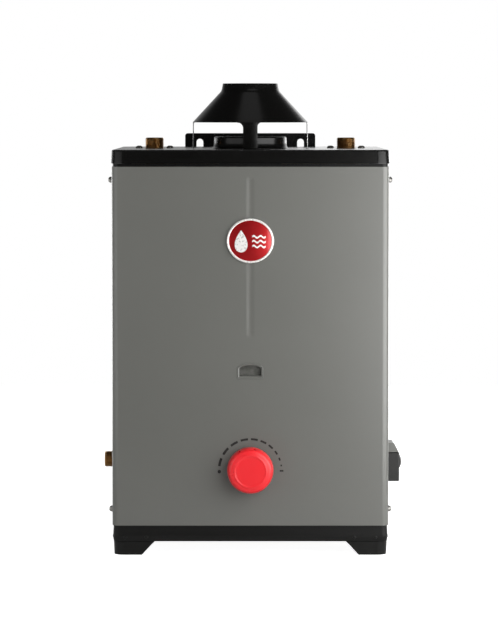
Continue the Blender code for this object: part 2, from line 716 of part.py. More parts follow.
def knob_parts():
    """Knob and stem turn together on the sprung plunger, which only slides."""
    push_axis = bpy.data.objects.new("knob_axis", None)
    HEATER.objects.link(push_axis)
    push_axis.location = (0, 0, KNOB_Z)
    push_axis.rotation_euler = UPRIGHT      # own +Z points out of the front

    back = KNOB_BACK / MM
    rim = KNOB_RADIUS / MM
    front = KNOB_DEPTH / MM
    face = [(0, front), (19.6, front), (20.6, 19.2), (22.2, 19.2), (23.2, 20.0), (26.2, 18.4),
            (29.4, 14.2), (31.2, 8.0), (rim, 0)]
    hollow = [(30.2, 0), (29.4, 8.5), (24.0, 14.5), (9.0, 15.5), (9.0, 0.5), (4.3, 0.5),
              (4.3, 12.0), (0, 12.0)]
    profile = [(r * MM, (h + back) * MM) for r, h in face + hollow]
    knob = turned("control_knob", profile, "red_plastic", segments=36, closed=False)
    pointer = block("knob_pointer", (-29.5 * MM, -1.4 * MM, (back + 12) * MM),
                    (-23.8 * MM, 1.4 * MM, (back + 18.7) * MM), bevel=0.6 * MM)
    boolean(knob, pointer, "UNION")

    stem = [(0, back + 11.5), (STEM_RADIUS / MM, back + 11.5), (STEM_RADIUS / MM, -STEM_END / MM),
            (0, -STEM_END / MM)]
    stem_obj = turned("knob_stem", [(r * MM, h * MM) for r, h in stem], "bright_metal", segments=20,
                      closed=False)
    ring = pipe_profile(BORE_RADIUS - 0.4 * MM, STEM_RADIUS + GAP, -STEM_END, -STEM_END + 10 * MM)
    plunger = turned("valve_plunger", ring, "brass", segments=20)
    for obj in (knob, stem_obj, plunger, pointer):
        obj.parent = push_axis

    pressed = STEM_END + KNOB_TRAVEL + GAP
    turns, per_turn, radius = 4, 8, 4.9 * MM
    count = turns * per_turn
    reach = BORE_END - pressed - 2 * MM
    route = []
    for i in range(count + 1):
        angle = 2 * math.pi * i / per_turn
        route.append((radius * math.cos(angle), pressed + 1 * MM + reach * i / count,
                      KNOB_Z + radius * math.sin(angle)))
    tube("plunger_spring", route, 0.55 * MM, "steel")


def gas_pipes():
    outer_end = -JACKET[0] - 16 * MM
    nipple = pipe_profile(11.5 * MM, 8 * MM, 0, 45 * MM)
    turned("gas_inlet_nipple", nipple, "brass", (outer_end, SIDE_FITTING_Y, GAS_Z),
           (0, math.radians(90), 0), segments=32)
    locknut("gas_inlet_locknut", -JACKET[0] + SHEET + GAP, 11.8 * MM, 16 * MM, 8 * MM, GAS_Z)
    valve_side = -38 * MM - GAP
    tube("gas_supply_tube", smooth_route([
        (outer_end + 45 * MM + GAP, SIDE_FITTING_Y, GAS_Z), (-154 * MM, -56 * MM, GAS_Z),
        (-146 * MM, -66 * MM, GAS_Z),
        (-143 * MM, -90 * MM, GAS_Z), (-137 * MM, -126 * MM, GAS_Z), (-112 * MM, -147 * MM, GAS_Z),
        (-70 * MM, -150 * MM, GAS_Z), (valve_side, -150 * MM, GAS_Z)]), 6 * MM, "copper", 2)
    tube("burner_supply_tube", smooth_route([
        (0, VALVE_BACK + GAP, GAS_Z), (0, -90 * MM, GAS_Z), (0, -30 * MM, GAS_Z),
        (0, -8 * MM, 119.5 * MM), (0, 0, 124 * MM), (0, 0, 131.4 * MM)]), 4.5 * MM, "copper", 2)


def locknut(name, start_x, bore, across, length, z):
    """Hexagonal nut round a fitting that runs through the side of the jacket."""
    bm = bmesh.new()
    bmesh.ops.create_cone(bm, cap_ends=True, segments=6, radius1=across, radius2=across,
                          depth=length, matrix=Matrix.Translation((0, 0, length / 2)))
    start = Matrix.Translation((start_x, SIDE_FITTING_Y, z))
    bmesh.ops.transform(bm, matrix=start @ AXES["x"], verts=bm.verts)
    nut = place_mesh(name, bm, "brass")
    hole = cylinder(f"cut_{name}", bore, (start_x - 5 * MM, SIDE_FITTING_Y, z), length + 10 * MM,
                    "x", segments=24)
    boolean(nut, hole)


def thermostat_probe():
    """Capillary from the valve to a bulb inside the tank, one closed tube."""
    x, y = PROBE
    lead = smooth_route([
        (38 * MM + GAP, -135 * MM, 136 * MM), (60 * MM, -139 * MM, 142 * MM),
        (82 * MM, -134 * MM, 175 * MM), (x + 2 * MM, -120 * MM, 225 * MM), (x, y, 265 * MM),
        (x, y, 296 * MM)])
    bulb = [Vector((x, y, z * MM)) for z in (298, 370, 373)]
    sizes = [1.0] * len(lead) + [3.0, 3.0, 1.5]
    tube("thermostat_probe", lead + bulb, 1.3 * MM, "copper", sizes=sizes)


# ---------------------------------------------------------------- igniter

IGNITER_FACE = JACKET[0] + 20.4 * MM
BUTTON_RADIUS = 11.5 * MM


def igniter():
    wall = JACKET[0] + GAP
    y, half_y = SIDE_FITTING_Y, 17 * MM
    low, high = (wall, y - half_y, 88 * MM), (IGNITER_FACE, y + half_y, 129 * MM)
    housing = block("igniter_housing", low, high, "black_plastic", bevel=1.2 * MM)
    neck_start = JACKET[0] - 16 * MM
    neck = cylinder("igniter_neck", 7.5 * MM, (neck_start, y, IGNITER_Z), 20 * MM, "x", segments=24)
    boolean(housing, neck, "UNION")
    recess = cylinder("cut_igniter_recess", BUTTON_RADIUS + 0.5 * MM,
                      (IGNITER_FACE - 12 * MM, y, IGNITER_Z), 20 * MM, "x", segments=28)
    boolean(housing, recess)
    dome = [(0, 3.6), (4.5, 3.2), (8.5, 2.0), (10.9, 0.2), (11.5, -1.4), (11.5, -6.6), (0, -6.6)]
    turned("igniter_button", [(r * MM, h * MM) for r, h in dome], "black_plastic",
           (IGNITER_FACE, y, IGNITER_Z), (0, math.radians(90), 0), segments=28, closed=False)
    locknut("igniter_locknut", JACKET[0] - SHEET - GAP - 5 * MM, 7.8 * MM, 13 * MM, 5 * MM, IGNITER_Z)
    tube("igniter_lead", smooth_route([
        (neck_start - GAP, y, IGNITER_Z), (169 * MM, y, IGNITER_Z), (161 * MM, -62 * MM, 117 * MM),
        (148 * MM, -100 * MM, 122 * MM), (112 * MM, -152 * MM, 128 * MM),
        (66 * MM, -156 * MM, 160 * MM), (36 * MM, -140 * MM, 172 * MM),
        (PILOT_SPOTS["electrode"] + 5 * MM, -102 * MM, 162 * MM),
        (PILOT_SPOTS["electrode"], PILOT_Y, 172 * MM),
        (PILOT_SPOTS["electrode"], PILOT_Y, 187.6 * MM)]), 1.5 * MM, "black_plastic")
    igniter_hood(y, wall)


def igniter_hood(y, wall):
    """Small sloped sheet cap over the igniter, open below and towards the jacket."""
    half_y = 18.5 * MM
    bottom, top = 130 * MM, 142 * MM
    near_top = JACKET[0] + 12.0 * MM
    near_low = JACKET[0] + 18.2 * MM
    bm = bmesh.new()
    rows = []
    for shift in (-half_y, half_y):
        rows.append([bm.verts.new((x, y + shift, z)) for x, z in
                     ((wall, bottom), (wall, top), (near_top, top), (near_low, bottom))])
    front, rear = rows
    bm.faces.new(front)
    bm.faces.new(list(reversed(rear)))
    bm.faces.new((front[1], rear[1], rear[2], front[2]))
    bm.faces.new((front[2], rear[2], rear[3], front[3]))
    bmesh.ops.recalc_face_normals(bm, faces=bm.faces)
    for face in bm.faces:
        outward = face.calc_center_median() - Vector((wall, y, bottom))
        if face.normal.dot(outward) < 0:
            face.normal_flip()
    mesh = bpy.data.meshes.new("igniter_hood")
    bm.to_mesh(mesh)
    bm.free()
    solidify(place("igniter_hood", mesh, "grey_paint"), 1 * MM)


# ---------------------------------------------------------------- badge and sight window

def badge():
    front = JACKET[1] / MM
    stretch = BADGE[0] / BADGE[1]
    rim = BADGE[1] / MM
    ring = [(rim - 2.2, 3.5), (rim - 1.2, 3.5), (rim - 0.3, 2.5), (rim, 0.3), (rim - 3.0, 0.3),
            (rim - 3.0, 2.6)]
    field = rim - 3.3
    dome = [(0, 4.3), (field * 0.35, 4.0), (field * 0.7, 3.2), (field - 0.6, 2.2), (field, 1.8),
            (field, 0.3), (0, 0.3)]
    for name, profile, paint, closed in (("badge_bezel", ring, "bright_metal", True),
                                         ("badge_plate", dome, "red_plastic", False)):
        points = [(r * MM, (h + front) * MM) for r, h in profile]
        turned(name, points, paint, (0, 0, BADGE_Z), UPRIGHT, scale_x=stretch, closed=closed)


def sight_window():
    outer = arched_outline(WINDOW_HALF + WINDOW_LIP, WINDOW_LOW - WINDOW_LIP, WINDOW_SHOULDER,
                           WINDOW_CROWN + WINDOW_LIP)
    inner = arched_outline(WINDOW_HALF, WINDOW_LOW, WINDOW_SHOULDER, WINDOW_CROWN)
    depth = 7 * MM
    middle = -JACKET[1] - 0.8 * MM + depth / 2
    plate("sight_window_frame", [outer, inner], depth, "grey_paint", (0, middle, 0), UPRIGHT)
    pane = arched_outline(WINDOW_HALF + 2 * MM, WINDOW_LOW - 2 * MM, WINDOW_SHOULDER,
                          WINDOW_CROWN + 2 * MM)
    plate("sight_window_pane", [pane], 1.2 * MM, "glass", (0, middle + depth / 2 + 0.9 * MM, 0),
          UPRIGHT)


# ---------------------------------------------------------------- assembly

def hang_on_origin():
    """Shift the whole heater back, so that the knob and the bracket reach equally far from y = 0."""
    origin = bpy.data.objects.new("heater_origin", None)
    HEATER.objects.link(origin)
    front_reach = KNOB_BACK + KNOB_DEPTH
    rear_reach = JACKET[1] + BRACKET_JOGGLE + BRACKET_SHEET
    origin.location.y = (front_reach - rear_reach) / 2
    for obj in list(HEATER.objects) + list(CUTTERS.objects):
        if obj.parent is None and obj is not origin:
            obj.parent = origin


def build():
    cutters = casing_cutters()
    jacket_wrap(cutters)
    frame_band("base_frame", SKIRT_LOW, 75 * MM, cutters["lower"])
    frame_band("top_frame", 503 * MM, LID_LOW - GAP, cutters["upper"])
    base_plate()
    legs()
    rear_panel()
    wall_bracket()
    lid()
    screws()
    flue_collar()
    draft_hood()
    flue()
    tank_shell()
    water_pipes()
    insulation()
    heat_shield()
    burner()
    pilot()
    gas_control_valve()
    knob_parts()
    gas_pipes()
    thermostat_probe()
    igniter()
    badge()
    sight_window()
    hang_on_origin()


build()
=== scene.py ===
import json
import math

import bmesh
import bpy
from mathutils import Matrix, Vector


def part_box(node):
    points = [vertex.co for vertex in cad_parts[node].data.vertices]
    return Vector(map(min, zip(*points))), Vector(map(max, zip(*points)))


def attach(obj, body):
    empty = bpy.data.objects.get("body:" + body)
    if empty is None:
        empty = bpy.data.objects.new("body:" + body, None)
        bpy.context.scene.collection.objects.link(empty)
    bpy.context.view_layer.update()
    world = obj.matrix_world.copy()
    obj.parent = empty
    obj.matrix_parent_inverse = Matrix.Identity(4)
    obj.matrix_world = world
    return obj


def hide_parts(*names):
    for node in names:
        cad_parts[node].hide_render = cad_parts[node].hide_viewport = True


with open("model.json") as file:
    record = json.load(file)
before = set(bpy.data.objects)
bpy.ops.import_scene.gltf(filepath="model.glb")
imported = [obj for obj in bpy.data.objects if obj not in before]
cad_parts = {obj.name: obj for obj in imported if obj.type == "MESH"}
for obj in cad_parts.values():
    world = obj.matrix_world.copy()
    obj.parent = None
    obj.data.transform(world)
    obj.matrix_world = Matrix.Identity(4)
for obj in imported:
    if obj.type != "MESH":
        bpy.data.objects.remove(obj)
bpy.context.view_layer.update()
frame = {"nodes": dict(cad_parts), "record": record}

MM = 0.001
BODY = "heater_body"
SHARP = math.radians(32)    # edges sharper than this stay crisp

# Places that everything is measured from, read from the CAD frame
JACKET_LOW, JACKET_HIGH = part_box("jacket_wrap")
LID_LOW, LID_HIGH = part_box("lid")
LID_TOP = LID_HIGH.z
FRONT_Y = JACKET_LOW.y
HALF_X = JACKET_HIGH.x
MID_Y = (LID_LOW.y + LID_HIGH.y) / 2
HALF_Y = MID_Y - FRONT_Y
SKIN = 1.0 * MM             # sheet thickness of the casing
SHADE_LEVEL = 0.64          # above this the side softboxes give light but no glare on the lid


# ================================================================ camera and studio

def camera():
    """Level with the hood and four metres away, looking slightly down."""
    aside, away, height, tilt = -1.8 * MM, 4.0, 0.611, math.radians(3.6)
    data = bpy.data.cameras.new("camera")
    data.sensor_width = 36.0
    data.lens = 163.72
    data.shift_y = -0.0426
    obj = bpy.data.objects.new("camera", data)
    bpy.context.scene.collection.objects.link(obj)
    obj.location = (aside, FRONT_Y - away, height)
    obj.rotation_euler = (math.pi / 2 - tilt, 0, 0)
    bpy.context.scene.camera = obj


def softbox(name, location, target, size, radiance, mirrored=True):
    """Rectangular light that faces its target, as bright all over as the radiance says."""
    data = bpy.data.lights.new(name, "AREA")
    data.shape = "RECTANGLE"
    data.size, data.size_y = size
    data.energy = radiance * math.pi * size[0] * size[1]
    obj = bpy.data.objects.new(name, data)
    bpy.context.scene.collection.objects.link(obj)
    obj.location = location
    direction = Vector(target) - Vector(location)
    obj.rotation_euler = direction.to_track_quat("-Z", "Y").to_euler()
    obj.visible_camera = False
    obj.visible_glossy = mirrored


def room():
    """White to the eye; to the object dim in front, and grey behind, brighter to the right."""
    world = bpy.data.worlds.new("studio")
    bpy.context.scene.world = world
    world.use_nodes = True
    tree = world.node_tree
    tree.nodes.clear()
    out = tree.nodes.new("ShaderNodeOutputWorld")
    seen = tree.nodes.new("ShaderNodeBackground")
    seen.inputs["Color"].default_value = (1, 1, 1, 1)
    lit = tree.nodes.new("ShaderNodeBackground")
    where = tree.nodes.new("ShaderNodeTexCoord")
    parts = tree.nodes.new("ShaderNodeSeparateXYZ")
    behind = tree.nodes.new("ShaderNodeMapRange")
    across = tree.nodes.new("ShaderNodeMapRange")
    level = tree.nodes.new("ShaderNodeMath")
    level.operation = "MULTIPLY"
    front_to_back, left_to_right = (0.7, 1.0, 0.05, 0.7), (-0.3, 0.3, 0.9, 1.1)
    for ramp, ends in ((behind, front_to_back), (across, left_to_right)):
        for key, value in zip(("From Min", "From Max", "To Min", "To Max"), ends):
            ramp.inputs[key].default_value = value
    mix = tree.nodes.new("ShaderNodeMixShader")
    path = tree.nodes.new("ShaderNodeLightPath")
    tree.links.new(where.outputs["Generated"], parts.inputs[0])
    tree.links.new(parts.outputs["Y"], behind.inputs["Value"])
    tree.links.new(parts.outputs["X"], across.inputs["Value"])
    tree.links.new(behind.outputs[0], level.inputs[0])
    tree.links.new(across.outputs[0], level.inputs[1])
    tree.links.new(level.outputs[0], lit.inputs["Strength"])
    tree.links.new(path.outputs["Is Camera Ray"], mix.inputs["Fac"])
    tree.links.new(lit.outputs[0], mix.inputs[1])
    tree.links.new(seen.outputs[0], mix.inputs[2])
    tree.links.new(mix.outputs[0], out.inputs["Surface"])


def studio():
    """White table that ends a little way in front, softboxes all round, the right one brightest."""
    room()
    front_edge, half = FRONT_Y - 0.72, 1.6
    outline = rounded_rectangle(half, half, 0.05, 4, (0, front_edge + half))
    floor = slab("floor", outline, -12 * MM, -0.2 * MM, axis="z")
    floor.data.materials.append(floor_material())
    foot, top = 0.045, 1.195
    for side, x, aim, radiance in (("right", 0.75, 0.09, 4.5), ("left", -0.86, -0.20, 1.15)):
        for part, low, high in (("low", foot, SHADE_LEVEL), ("high", SHADE_LEVEL, top)):
            level = (low + high) / 2
            softbox(f"softbox_{side}_{part}", (x, -0.62, level), (aim, 0.13, level),
                    (1.3, high - low), radiance, mirrored=part == "low")
    softbox("softbox_top", (0.3, -1.9, 2.3), (0, FRONT_Y, 0.3), (1.4, 0.9), 0.45)
    softbox("softbox_overhead", (0, MID_Y, 2.0), (0, MID_Y, 0), (0.7, 0.7), 0.30)
    softbox("softbox_back", (0.85, 1.2, 0.30), (0, MID_Y + 0.1, 0.30), (1.2, 0.54), 4.6)
    softbox("softbox_rear", (-1.05, 0.95, 0.30), (0, MID_Y + 0.1, 0.30), (1.3, 0.54), 4.0)
    softbox("backdrop_right", (0.52, 1.35, 0.78), (0.12, MID_Y, 0.6), (1.15, 0.62), 0.85)
    bpy.context.scene.view_settings.view_transform = "Standard"


# ================================================================ materials

class Graph:
    """A material's node tree, read in object coordinates, which are metres."""

    def __init__(self, name):
        self.material = bpy.data.materials.new(name)
        self.material.use_nodes = True
        self.tree = self.material.node_tree
        self.shader = self.tree.nodes["Principled BSDF"]
        self.where = self.tree.nodes.new("ShaderNodeTexCoord").outputs["Object"]

    def node(self, kind, inputs=(), **settings):
        made = self.tree.nodes.new(kind)
        for key, value in settings.items():
            setattr(made, key, value)
        for key, value in dict(inputs).items():
            if isinstance(value, bpy.types.NodeSocket):
                self.tree.links.new(value, made.inputs[key])
            else:
                made.inputs[key].default_value = value
        return made

    def noise(self, scale, detail=2.0, rough=0.5, stretch=(1, 1, 1)):
        """Noise with features of about 1/scale metres."""
        where = self.where
        if stretch != (1, 1, 1):
            where = self.node("ShaderNodeMapping", {"Vector": where, "Scale": stretch}).outputs[0]
        made = self.node("ShaderNodeTexNoise", {"Vector": where, "Scale": scale, "Detail": detail,
                                                "Roughness": rough})
        return made.outputs["Fac"]

    def ramp(self, value, low, high, start=0.0, end=1.0):
        made = self.node("ShaderNodeMapRange", {"Value": value, "From Min": start, "From Max": end,
                                                "To Min": low, "To Max": high})
        return made.outputs["Result"]

    def blend(self, value, first, second, start=0.3, end=0.7):
        return self.mix(self.ramp(value, 0.0, 1.0, start, end), first, second)

    def mix(self, factor, first, second):
        made = self.node("ShaderNodeMix", data_type="RGBA")
        self.tree.links.new(factor, made.inputs["Factor"])
        for key, value in ((6, first), (7, second)):
            if isinstance(value, bpy.types.NodeSocket):
                self.tree.links.new(value, made.inputs[key])
            else:
                made.inputs[key].default_value = (*value, 1.0)
        return made.outputs[2]

    def bump(self, height, distance, strength=1.0, under=None):
        inputs = {"Height": height, "Distance": distance, "Strength": strength}
        if under is not None:
            inputs["Normal"] = under
        return self.node("ShaderNodeBump", inputs).outputs["Normal"]

    def plug(self, **sockets):
        names = {"colour": "Base Color", "rough": "Roughness", "metallic": "Metallic",
                 "normal": "Normal", "coat": "Coat Weight", "coat_rough": "Coat Roughness",
                 "specular": "Specular IOR Level", "sheen": "Sheen Weight"}
        for key, value in sockets.items():
            socket = self.shader.inputs[names[key]]
            if isinstance(value, bpy.types.NodeSocket):
                self.tree.links.new(value, socket)
            elif key == "colour":
                socket.default_value = (*value, 1.0)
            else:
                socket.default_value = value
        return self.material


def scaled(colour, factor):
    return tuple(min(1.0, c * factor) for c in colour)


def enamel(name, colour, rough, spread=0.05, peel=0.005 * MM, peel_scale=520, specular=0.5):
    """Baked paint: slight drift in tone, pale specks, orange peel, and finely varying gloss."""
    g = Graph(name)
    drift = g.noise(7.0, 3.0)
    speck = g.noise(1600.0, 1.0)
    tone = g.blend(drift, scaled(colour, 1 - spread), scaled(colour, 1 + spread))
    tone = g.mix(g.ramp(speck, 0.0, 0.10, 0.60, 0.75), tone, scaled(colour, 1.5))
    gloss = g.ramp(g.noise(60.0, 4.0), rough * 0.95, rough * 1.05, 0.3, 0.7)
    normal = g.bump(g.noise(peel_scale, 2.0), peel, 0.6)
    return g.plug(colour=tone, rough=gloss, normal=normal, specular=specular)


def plastic(name, colour, rough, grain=0.01 * MM, grain_scale=1500, spread=0.06):
    """Moulded plastic: fine spark-eroded grain and faint flow shading."""
    g = Graph(name)
    flow = g.noise(28.0, 3.0, stretch=(1, 1, 0.5))
    tone = g.blend(flow, scaled(colour, 1 - spread), scaled(colour, 1 + spread))
    gloss = g.ramp(g.noise(140.0, 3.0), rough * 0.85, rough * 1.15, 0.3, 0.7)
    return g.plug(colour=tone, rough=gloss, normal=g.bump(g.noise(grain_scale, 1.0), grain, 0.5))


def metal(name, colour, rough, tarnish=None, brush=(1, 1, 1), brush_scale=900, scratch=0.01 * MM,
          spots=18.0, amount=0.5):
    """Metal with a grain along one axis, and a second tone where it has tarnished."""
    g = Graph(name)
    grain = g.noise(brush_scale, 3.0, stretch=brush)
    blotch = g.noise(spots, 4.0, 0.6)
    tone = g.blend(grain, scaled(colour, 0.93), scaled(colour, 1.05))
    if tarnish:
        tone = g.mix(g.ramp(blotch, 0.0, amount, 0.48, 0.68), tone, tarnish)
    gloss = g.ramp(blotch, rough * 0.85, rough * 1.3, 0.3, 0.75)
    return g.plug(colour=tone, rough=gloss, metallic=1.0, normal=g.bump(grain, scratch, 0.5))


def floor_material():
    """Pale table top; it looks evenly lit, and throws little light back at the object."""
    g = Graph("floor_opal")
    tone = g.blend(g.noise(3.0, 2.0), (0.50, 0.50, 0.50), (0.54, 0.54, 0.54))
    g.shader.inputs["Emission Color"].default_value = (1, 1, 1, 1)
    seen = g.tree.nodes.new("ShaderNodeLightPath").outputs["Is Camera Ray"]
    g.tree.links.new(g.ramp(seen, 0.10, 0.95), g.shader.inputs["Emission Strength"])
    return g.plug(colour=tone, rough=0.7, normal=g.bump(g.noise(900.0), 0.02 * MM, 0.3))


def glass_wool():
    g = Graph("glass_wool")
    strands = g.noise(260.0, 6.0, 0.7, stretch=(1, 1, 4))
    lumps = g.noise(34.0, 4.0)
    tone = g.blend(strands, (0.52, 0.38, 0.12), (0.86, 0.74, 0.42))
    normal = g.bump(lumps, 2.0 * MM, 0.7, g.bump(strands, 0.8 * MM, 0.8))
    return g.plug(colour=tone, rough=g.ramp(strands, 0.8, 1.0), normal=normal, sheen=0.3)


def mica():
    g = Graph("mica")
    flakes = g.noise(130.0, 5.0, 0.65)
    tone = g.blend(flakes, (0.060, 0.060, 0.054), (0.125, 0.125, 0.115))
    gloss = g.ramp(flakes, 0.12, 0.3)
    return g.plug(colour=tone, rough=gloss, normal=g.bump(flakes, 0.05 * MM, 0.4))


def badge_resin():
    """Red metallic lacquer under a clear coat."""
    g = Graph("badge_resin")
    tone = g.blend(g.noise(55.0, 3.0), (0.36, 0.006, 0.008), (0.44, 0.009, 0.012))
    flake = g.noise(2600.0, 1.0)
    return g.plug(colour=tone, rough=g.ramp(flake, 0.30, 0.38), metallic=0.7, coat=0.8,
                  coat_rough=0.08, normal=g.bump(flake, 0.008 * MM, 0.4))


def badge_silver():
    """Pale satin plating of the badge's rim and its raised mark."""
    g = Graph("badge_silver")
    tone = g.blend(g.noise(90.0, 3.0), (0.86, 0.83, 0.80), (0.93, 0.91, 0.89))
    return g.plug(colour=tone, rough=g.ramp(g.noise(400.0), 0.24, 0.32), metallic=0.35,
                  normal=g.bump(g.noise(500.0), 0.004 * MM, 0.3))


def make_materials():
    return {
        "grey_paint": enamel("grey_paint", (0.113, 0.114, 0.104), 0.29, spread=0.02, specular=0.75),
        "black_enamel": enamel("black_enamel", (0.0022, 0.0021, 0.0019), 0.22, spread=0.12,
                               peel=0.005 * MM, peel_scale=260),
        "black_base": enamel("black_base", (0.0026, 0.0026, 0.0023), 0.34, spread=0.12,
                             peel=0.01 * MM, specular=0.28),
        "red_plastic": plastic("red_plastic", (0.72, 0.014, 0.020), 0.34, spread=0.04),
        "badge_red": badge_resin(),
        "black_plastic": plastic("black_plastic", (0.010, 0.010, 0.009), 0.42, grain=0.03 * MM),
        "white_plastic": plastic("white_plastic", (0.76, 0.76, 0.72), 0.45),
        "ceramic": plastic("ceramic", (0.82, 0.80, 0.74), 0.18, grain=0.004 * MM, grain_scale=500),
        "lead_rubber": plastic("lead_rubber", (0.03, 0.03, 0.03), 0.55, grain=0.02 * MM),
        "brass": metal("brass", (0.56, 0.35, 0.15), 0.34, tarnish=(0.25, 0.13, 0.055),
                       brush=(1, 1, 6), spots=70.0, amount=0.55),
        "copper": metal("copper", (0.72, 0.33, 0.18), 0.3, tarnish=(0.26, 0.12, 0.07), spots=45.0),
        "plated_steel": metal("plated_steel", (0.38, 0.37, 0.35), 0.48, tarnish=(0.26, 0.26, 0.24),
                              spots=160.0, amount=0.4),
        "bare_steel": metal("bare_steel", (0.36, 0.35, 0.34), 0.45, tarnish=(0.16, 0.11, 0.08)),
        "stainless": metal("stainless", (0.55, 0.54, 0.52), 0.3, tarnish=(0.42, 0.30, 0.17),
                           spots=9.0, amount=0.45),
        "badge_silver": badge_silver(),
        "chrome": metal("chrome", (0.84, 0.84, 0.84), 0.09, scratch=0.002 * MM, spots=60.0),
        "magnesium": metal("magnesium", (0.60, 0.60, 0.60), 0.5, scratch=0.05 * MM,
                           brush_scale=300),
        "glass_wool": glass_wool(),
        "mica": mica(),
        "dial_ink": plastic("dial_ink", (0.004, 0.003, 0.003), 0.7, grain=0.004 * MM),
    }


# ================================================================ mesh tools

def mesh_object(name, bm):
    bmesh.ops.remove_doubles(bm, verts=bm.verts, dist=0.002 * MM)
    bmesh.ops.recalc_face_normals(bm, faces=bm.faces)
    mesh = bpy.data.meshes.new(name)
    bm.to_mesh(mesh)
    bm.free()
    obj = bpy.data.objects.new(name, mesh)
    bpy.context.scene.collection.objects.link(obj)
    return obj


def bake(obj):
    """Replace an object's mesh by what its modifiers make of it."""
    bpy.context.view_layer.update()
    graph = bpy.context.evaluated_depsgraph_get()
    mesh = bpy.data.meshes.new_from_object(obj.evaluated_get(graph))
    obj.modifiers.clear()
    obj.data = mesh
    return obj


def solidify(obj, thickness, outward):
    """Give a sheet its thickness inwards; outward says that its faces look out."""
    modifier = obj.modifiers.new("sheet", "SOLIDIFY")
    modifier.thickness = thickness
    modifier.offset = -1.0 if outward else 1.0
    modifier.use_even_offset = True
    return bake(obj)


def largest_face(obj):
    return max(obj.data.polygons, key=lambda p: p.area)


def bevel(obj, width, segments=2, degrees=40):
    modifier = obj.modifiers.new("edges", "BEVEL")
    modifier.width = width
    modifier.segments = segments
    modifier.limit_method = "ANGLE"
    modifier.angle_limit = math.radians(degrees)
    return bake(obj)


def combine(obj, tools, operation="DIFFERENCE"):
    for tool in tools:
        modifier = obj.modifiers.new("cut", "BOOLEAN")
        modifier.object = tool
        modifier.operation = operation
        modifier.solver = "EXACT"
        bake(obj)
    for tool in tools:
        bpy.data.objects.remove(tool, do_unlink=True)
    return obj


def finish_piece(obj, material, nodes=(), body=BODY):
    """Shade, paint and mount a finished piece."""
    mesh = obj.data
    mesh.materials.clear()
    mesh.materials.append(MATERIALS[material])
    mesh.polygons.foreach_set("material_index", [0] * len(mesh.polygons))
    mesh.shade_smooth()
    mesh.set_sharp_from_angle(angle=SHARP)
    weighted = obj.modifiers.new("flat_faces_lead", "WEIGHTED_NORMAL")
    weighted.keep_sharp = True
    weighted.weight = 80
    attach(obj, body)
    if nodes:
        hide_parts(*nodes)
    return obj


def arc(centre, radius, start, end, steps):
    """Points on an arc, angles in degrees."""
    angles = [math.radians(start + (end - start) * i / steps) for i in range(steps + 1)]
    return [(centre[0] + radius * math.cos(a), centre[1] + radius * math.sin(a)) for a in angles]


def rounded_rectangle(half_x, half_y, radius, steps=8, middle=(0.0, 0.0)):
    points = []
    for sign_x, sign_y, start in ((1, 1, 0), (-1, 1, 90), (-1, -1, 180), (1, -1, 270)):
        centre = (middle[0] + sign_x * (half_x - radius), middle[1] + sign_y * (half_y - radius))
        points += arc(centre, radius, start, start + 90, steps)
    return points


def loft(name, rings, cap_first=False, cap_last=False):
    """Skin over closed rings of the same number of points."""
    bm = bmesh.new()
    loops = [[bm.verts.new(p) for p in ring] for ring in rings]
    count = len(loops[0])
    for lower, upper in zip(loops, loops[1:]):
        for i in range(count):
            j = (i + 1) % count
            bm.faces.new((lower[i], lower[j], upper[j], upper[i]))
    if cap_first:
        bm.faces.new(list(reversed(loops[0])))
    if cap_last:
        bm.faces.new(loops[-1])
    return mesh_object(name, bm)


def grid(name, rows):
    """Open sheet through rows of points."""
    bm = bmesh.new()
    lines = [[bm.verts.new(p) for p in row] for row in rows]
    for lower, upper in zip(lines, lines[1:]):
        for i in range(len(lower) - 1):
            bm.faces.new((lower[i], lower[i + 1], upper[i + 1], upper[i]))
    return mesh_object(name, bm)


def turned(name, profile, segments=96, closed=True, place=Matrix.Identity(4), stretch=1.0):
    """A profile of (radius, height) points turned about Z, then placed."""
    bm = bmesh.new()
    spokes = [2 * math.pi * i / segments for i in range(segments)]
    rings = []
    for radius, height in profile:
        if radius < 0.001 * MM:
            rings.append([bm.verts.new((0, 0, height))] * segments)
            continue
        rings.append([bm.verts.new((stretch * radius * math.cos(a), radius * math.sin(a), height))
                      for a in spokes])
    if closed:
        rings.append(rings[0])
    for first, second in zip(rings, rings[1:]):
        for i in range(segments):
            j = (i + 1) % segments
            corners = list(dict.fromkeys((first[i], first[j], second[j], second[i])))
            if len(corners) > 2:
                bm.faces.new(corners)
    bmesh.ops.transform(bm, matrix=place, verts=bm.verts)
    return mesh_object(name, bm)


def rod(name, radius, start, end, segments=48):
    """Cylinder between two points, for cutting."""
    start, end = Vector(start), Vector(end)
    length = (end - start).length
    turn = (end - start).to_track_quat("Z", "Y").to_matrix().to_4x4()
    profile = [(0, length), (radius, length), (radius, 0), (0, 0)]
    return turned(name, profile, segments, closed=False, place=Matrix.Translation(start) @ turn)


def slab(name, outline, low, high, axis="y"):
    """Outline of (x, z) or (x, y) points, extruded along y or z."""
    if axis == "y":
        rings = [[(x, level, z) for x, z in outline] for level in (low, high)]
    else:
        rings = [[(x, y, level) for x, y in outline] for level in (low, high)]
    return loft(name, rings, cap_first=True, cap_last=True)


def cuboid(name, low, high):
    outline = [(low[0], low[1]), (high[0], low[1]), (high[0], high[1]), (low[0], high[1])]
    return slab(name, outline, low[2], high[2], axis="z")


def facing_front(x, y, z):
    """Places a turned piece with its own +Z pointing out of the front."""
    return Matrix.Translation((x, y, z)) @ Matrix.Rotation(math.radians(90), 4, "X")


def about_flue(degrees=0):
    """Places a piece made round the origin on the flue's axis."""
    return Matrix.Translation((0, MID_Y, 0)) @ Matrix.Rotation(math.radians(degrees), 4, "Z")


def facing_rear(x, y, z):
    return Matrix.Translation((x, y, z)) @ Matrix.Rotation(math.radians(-90), 4, "X")


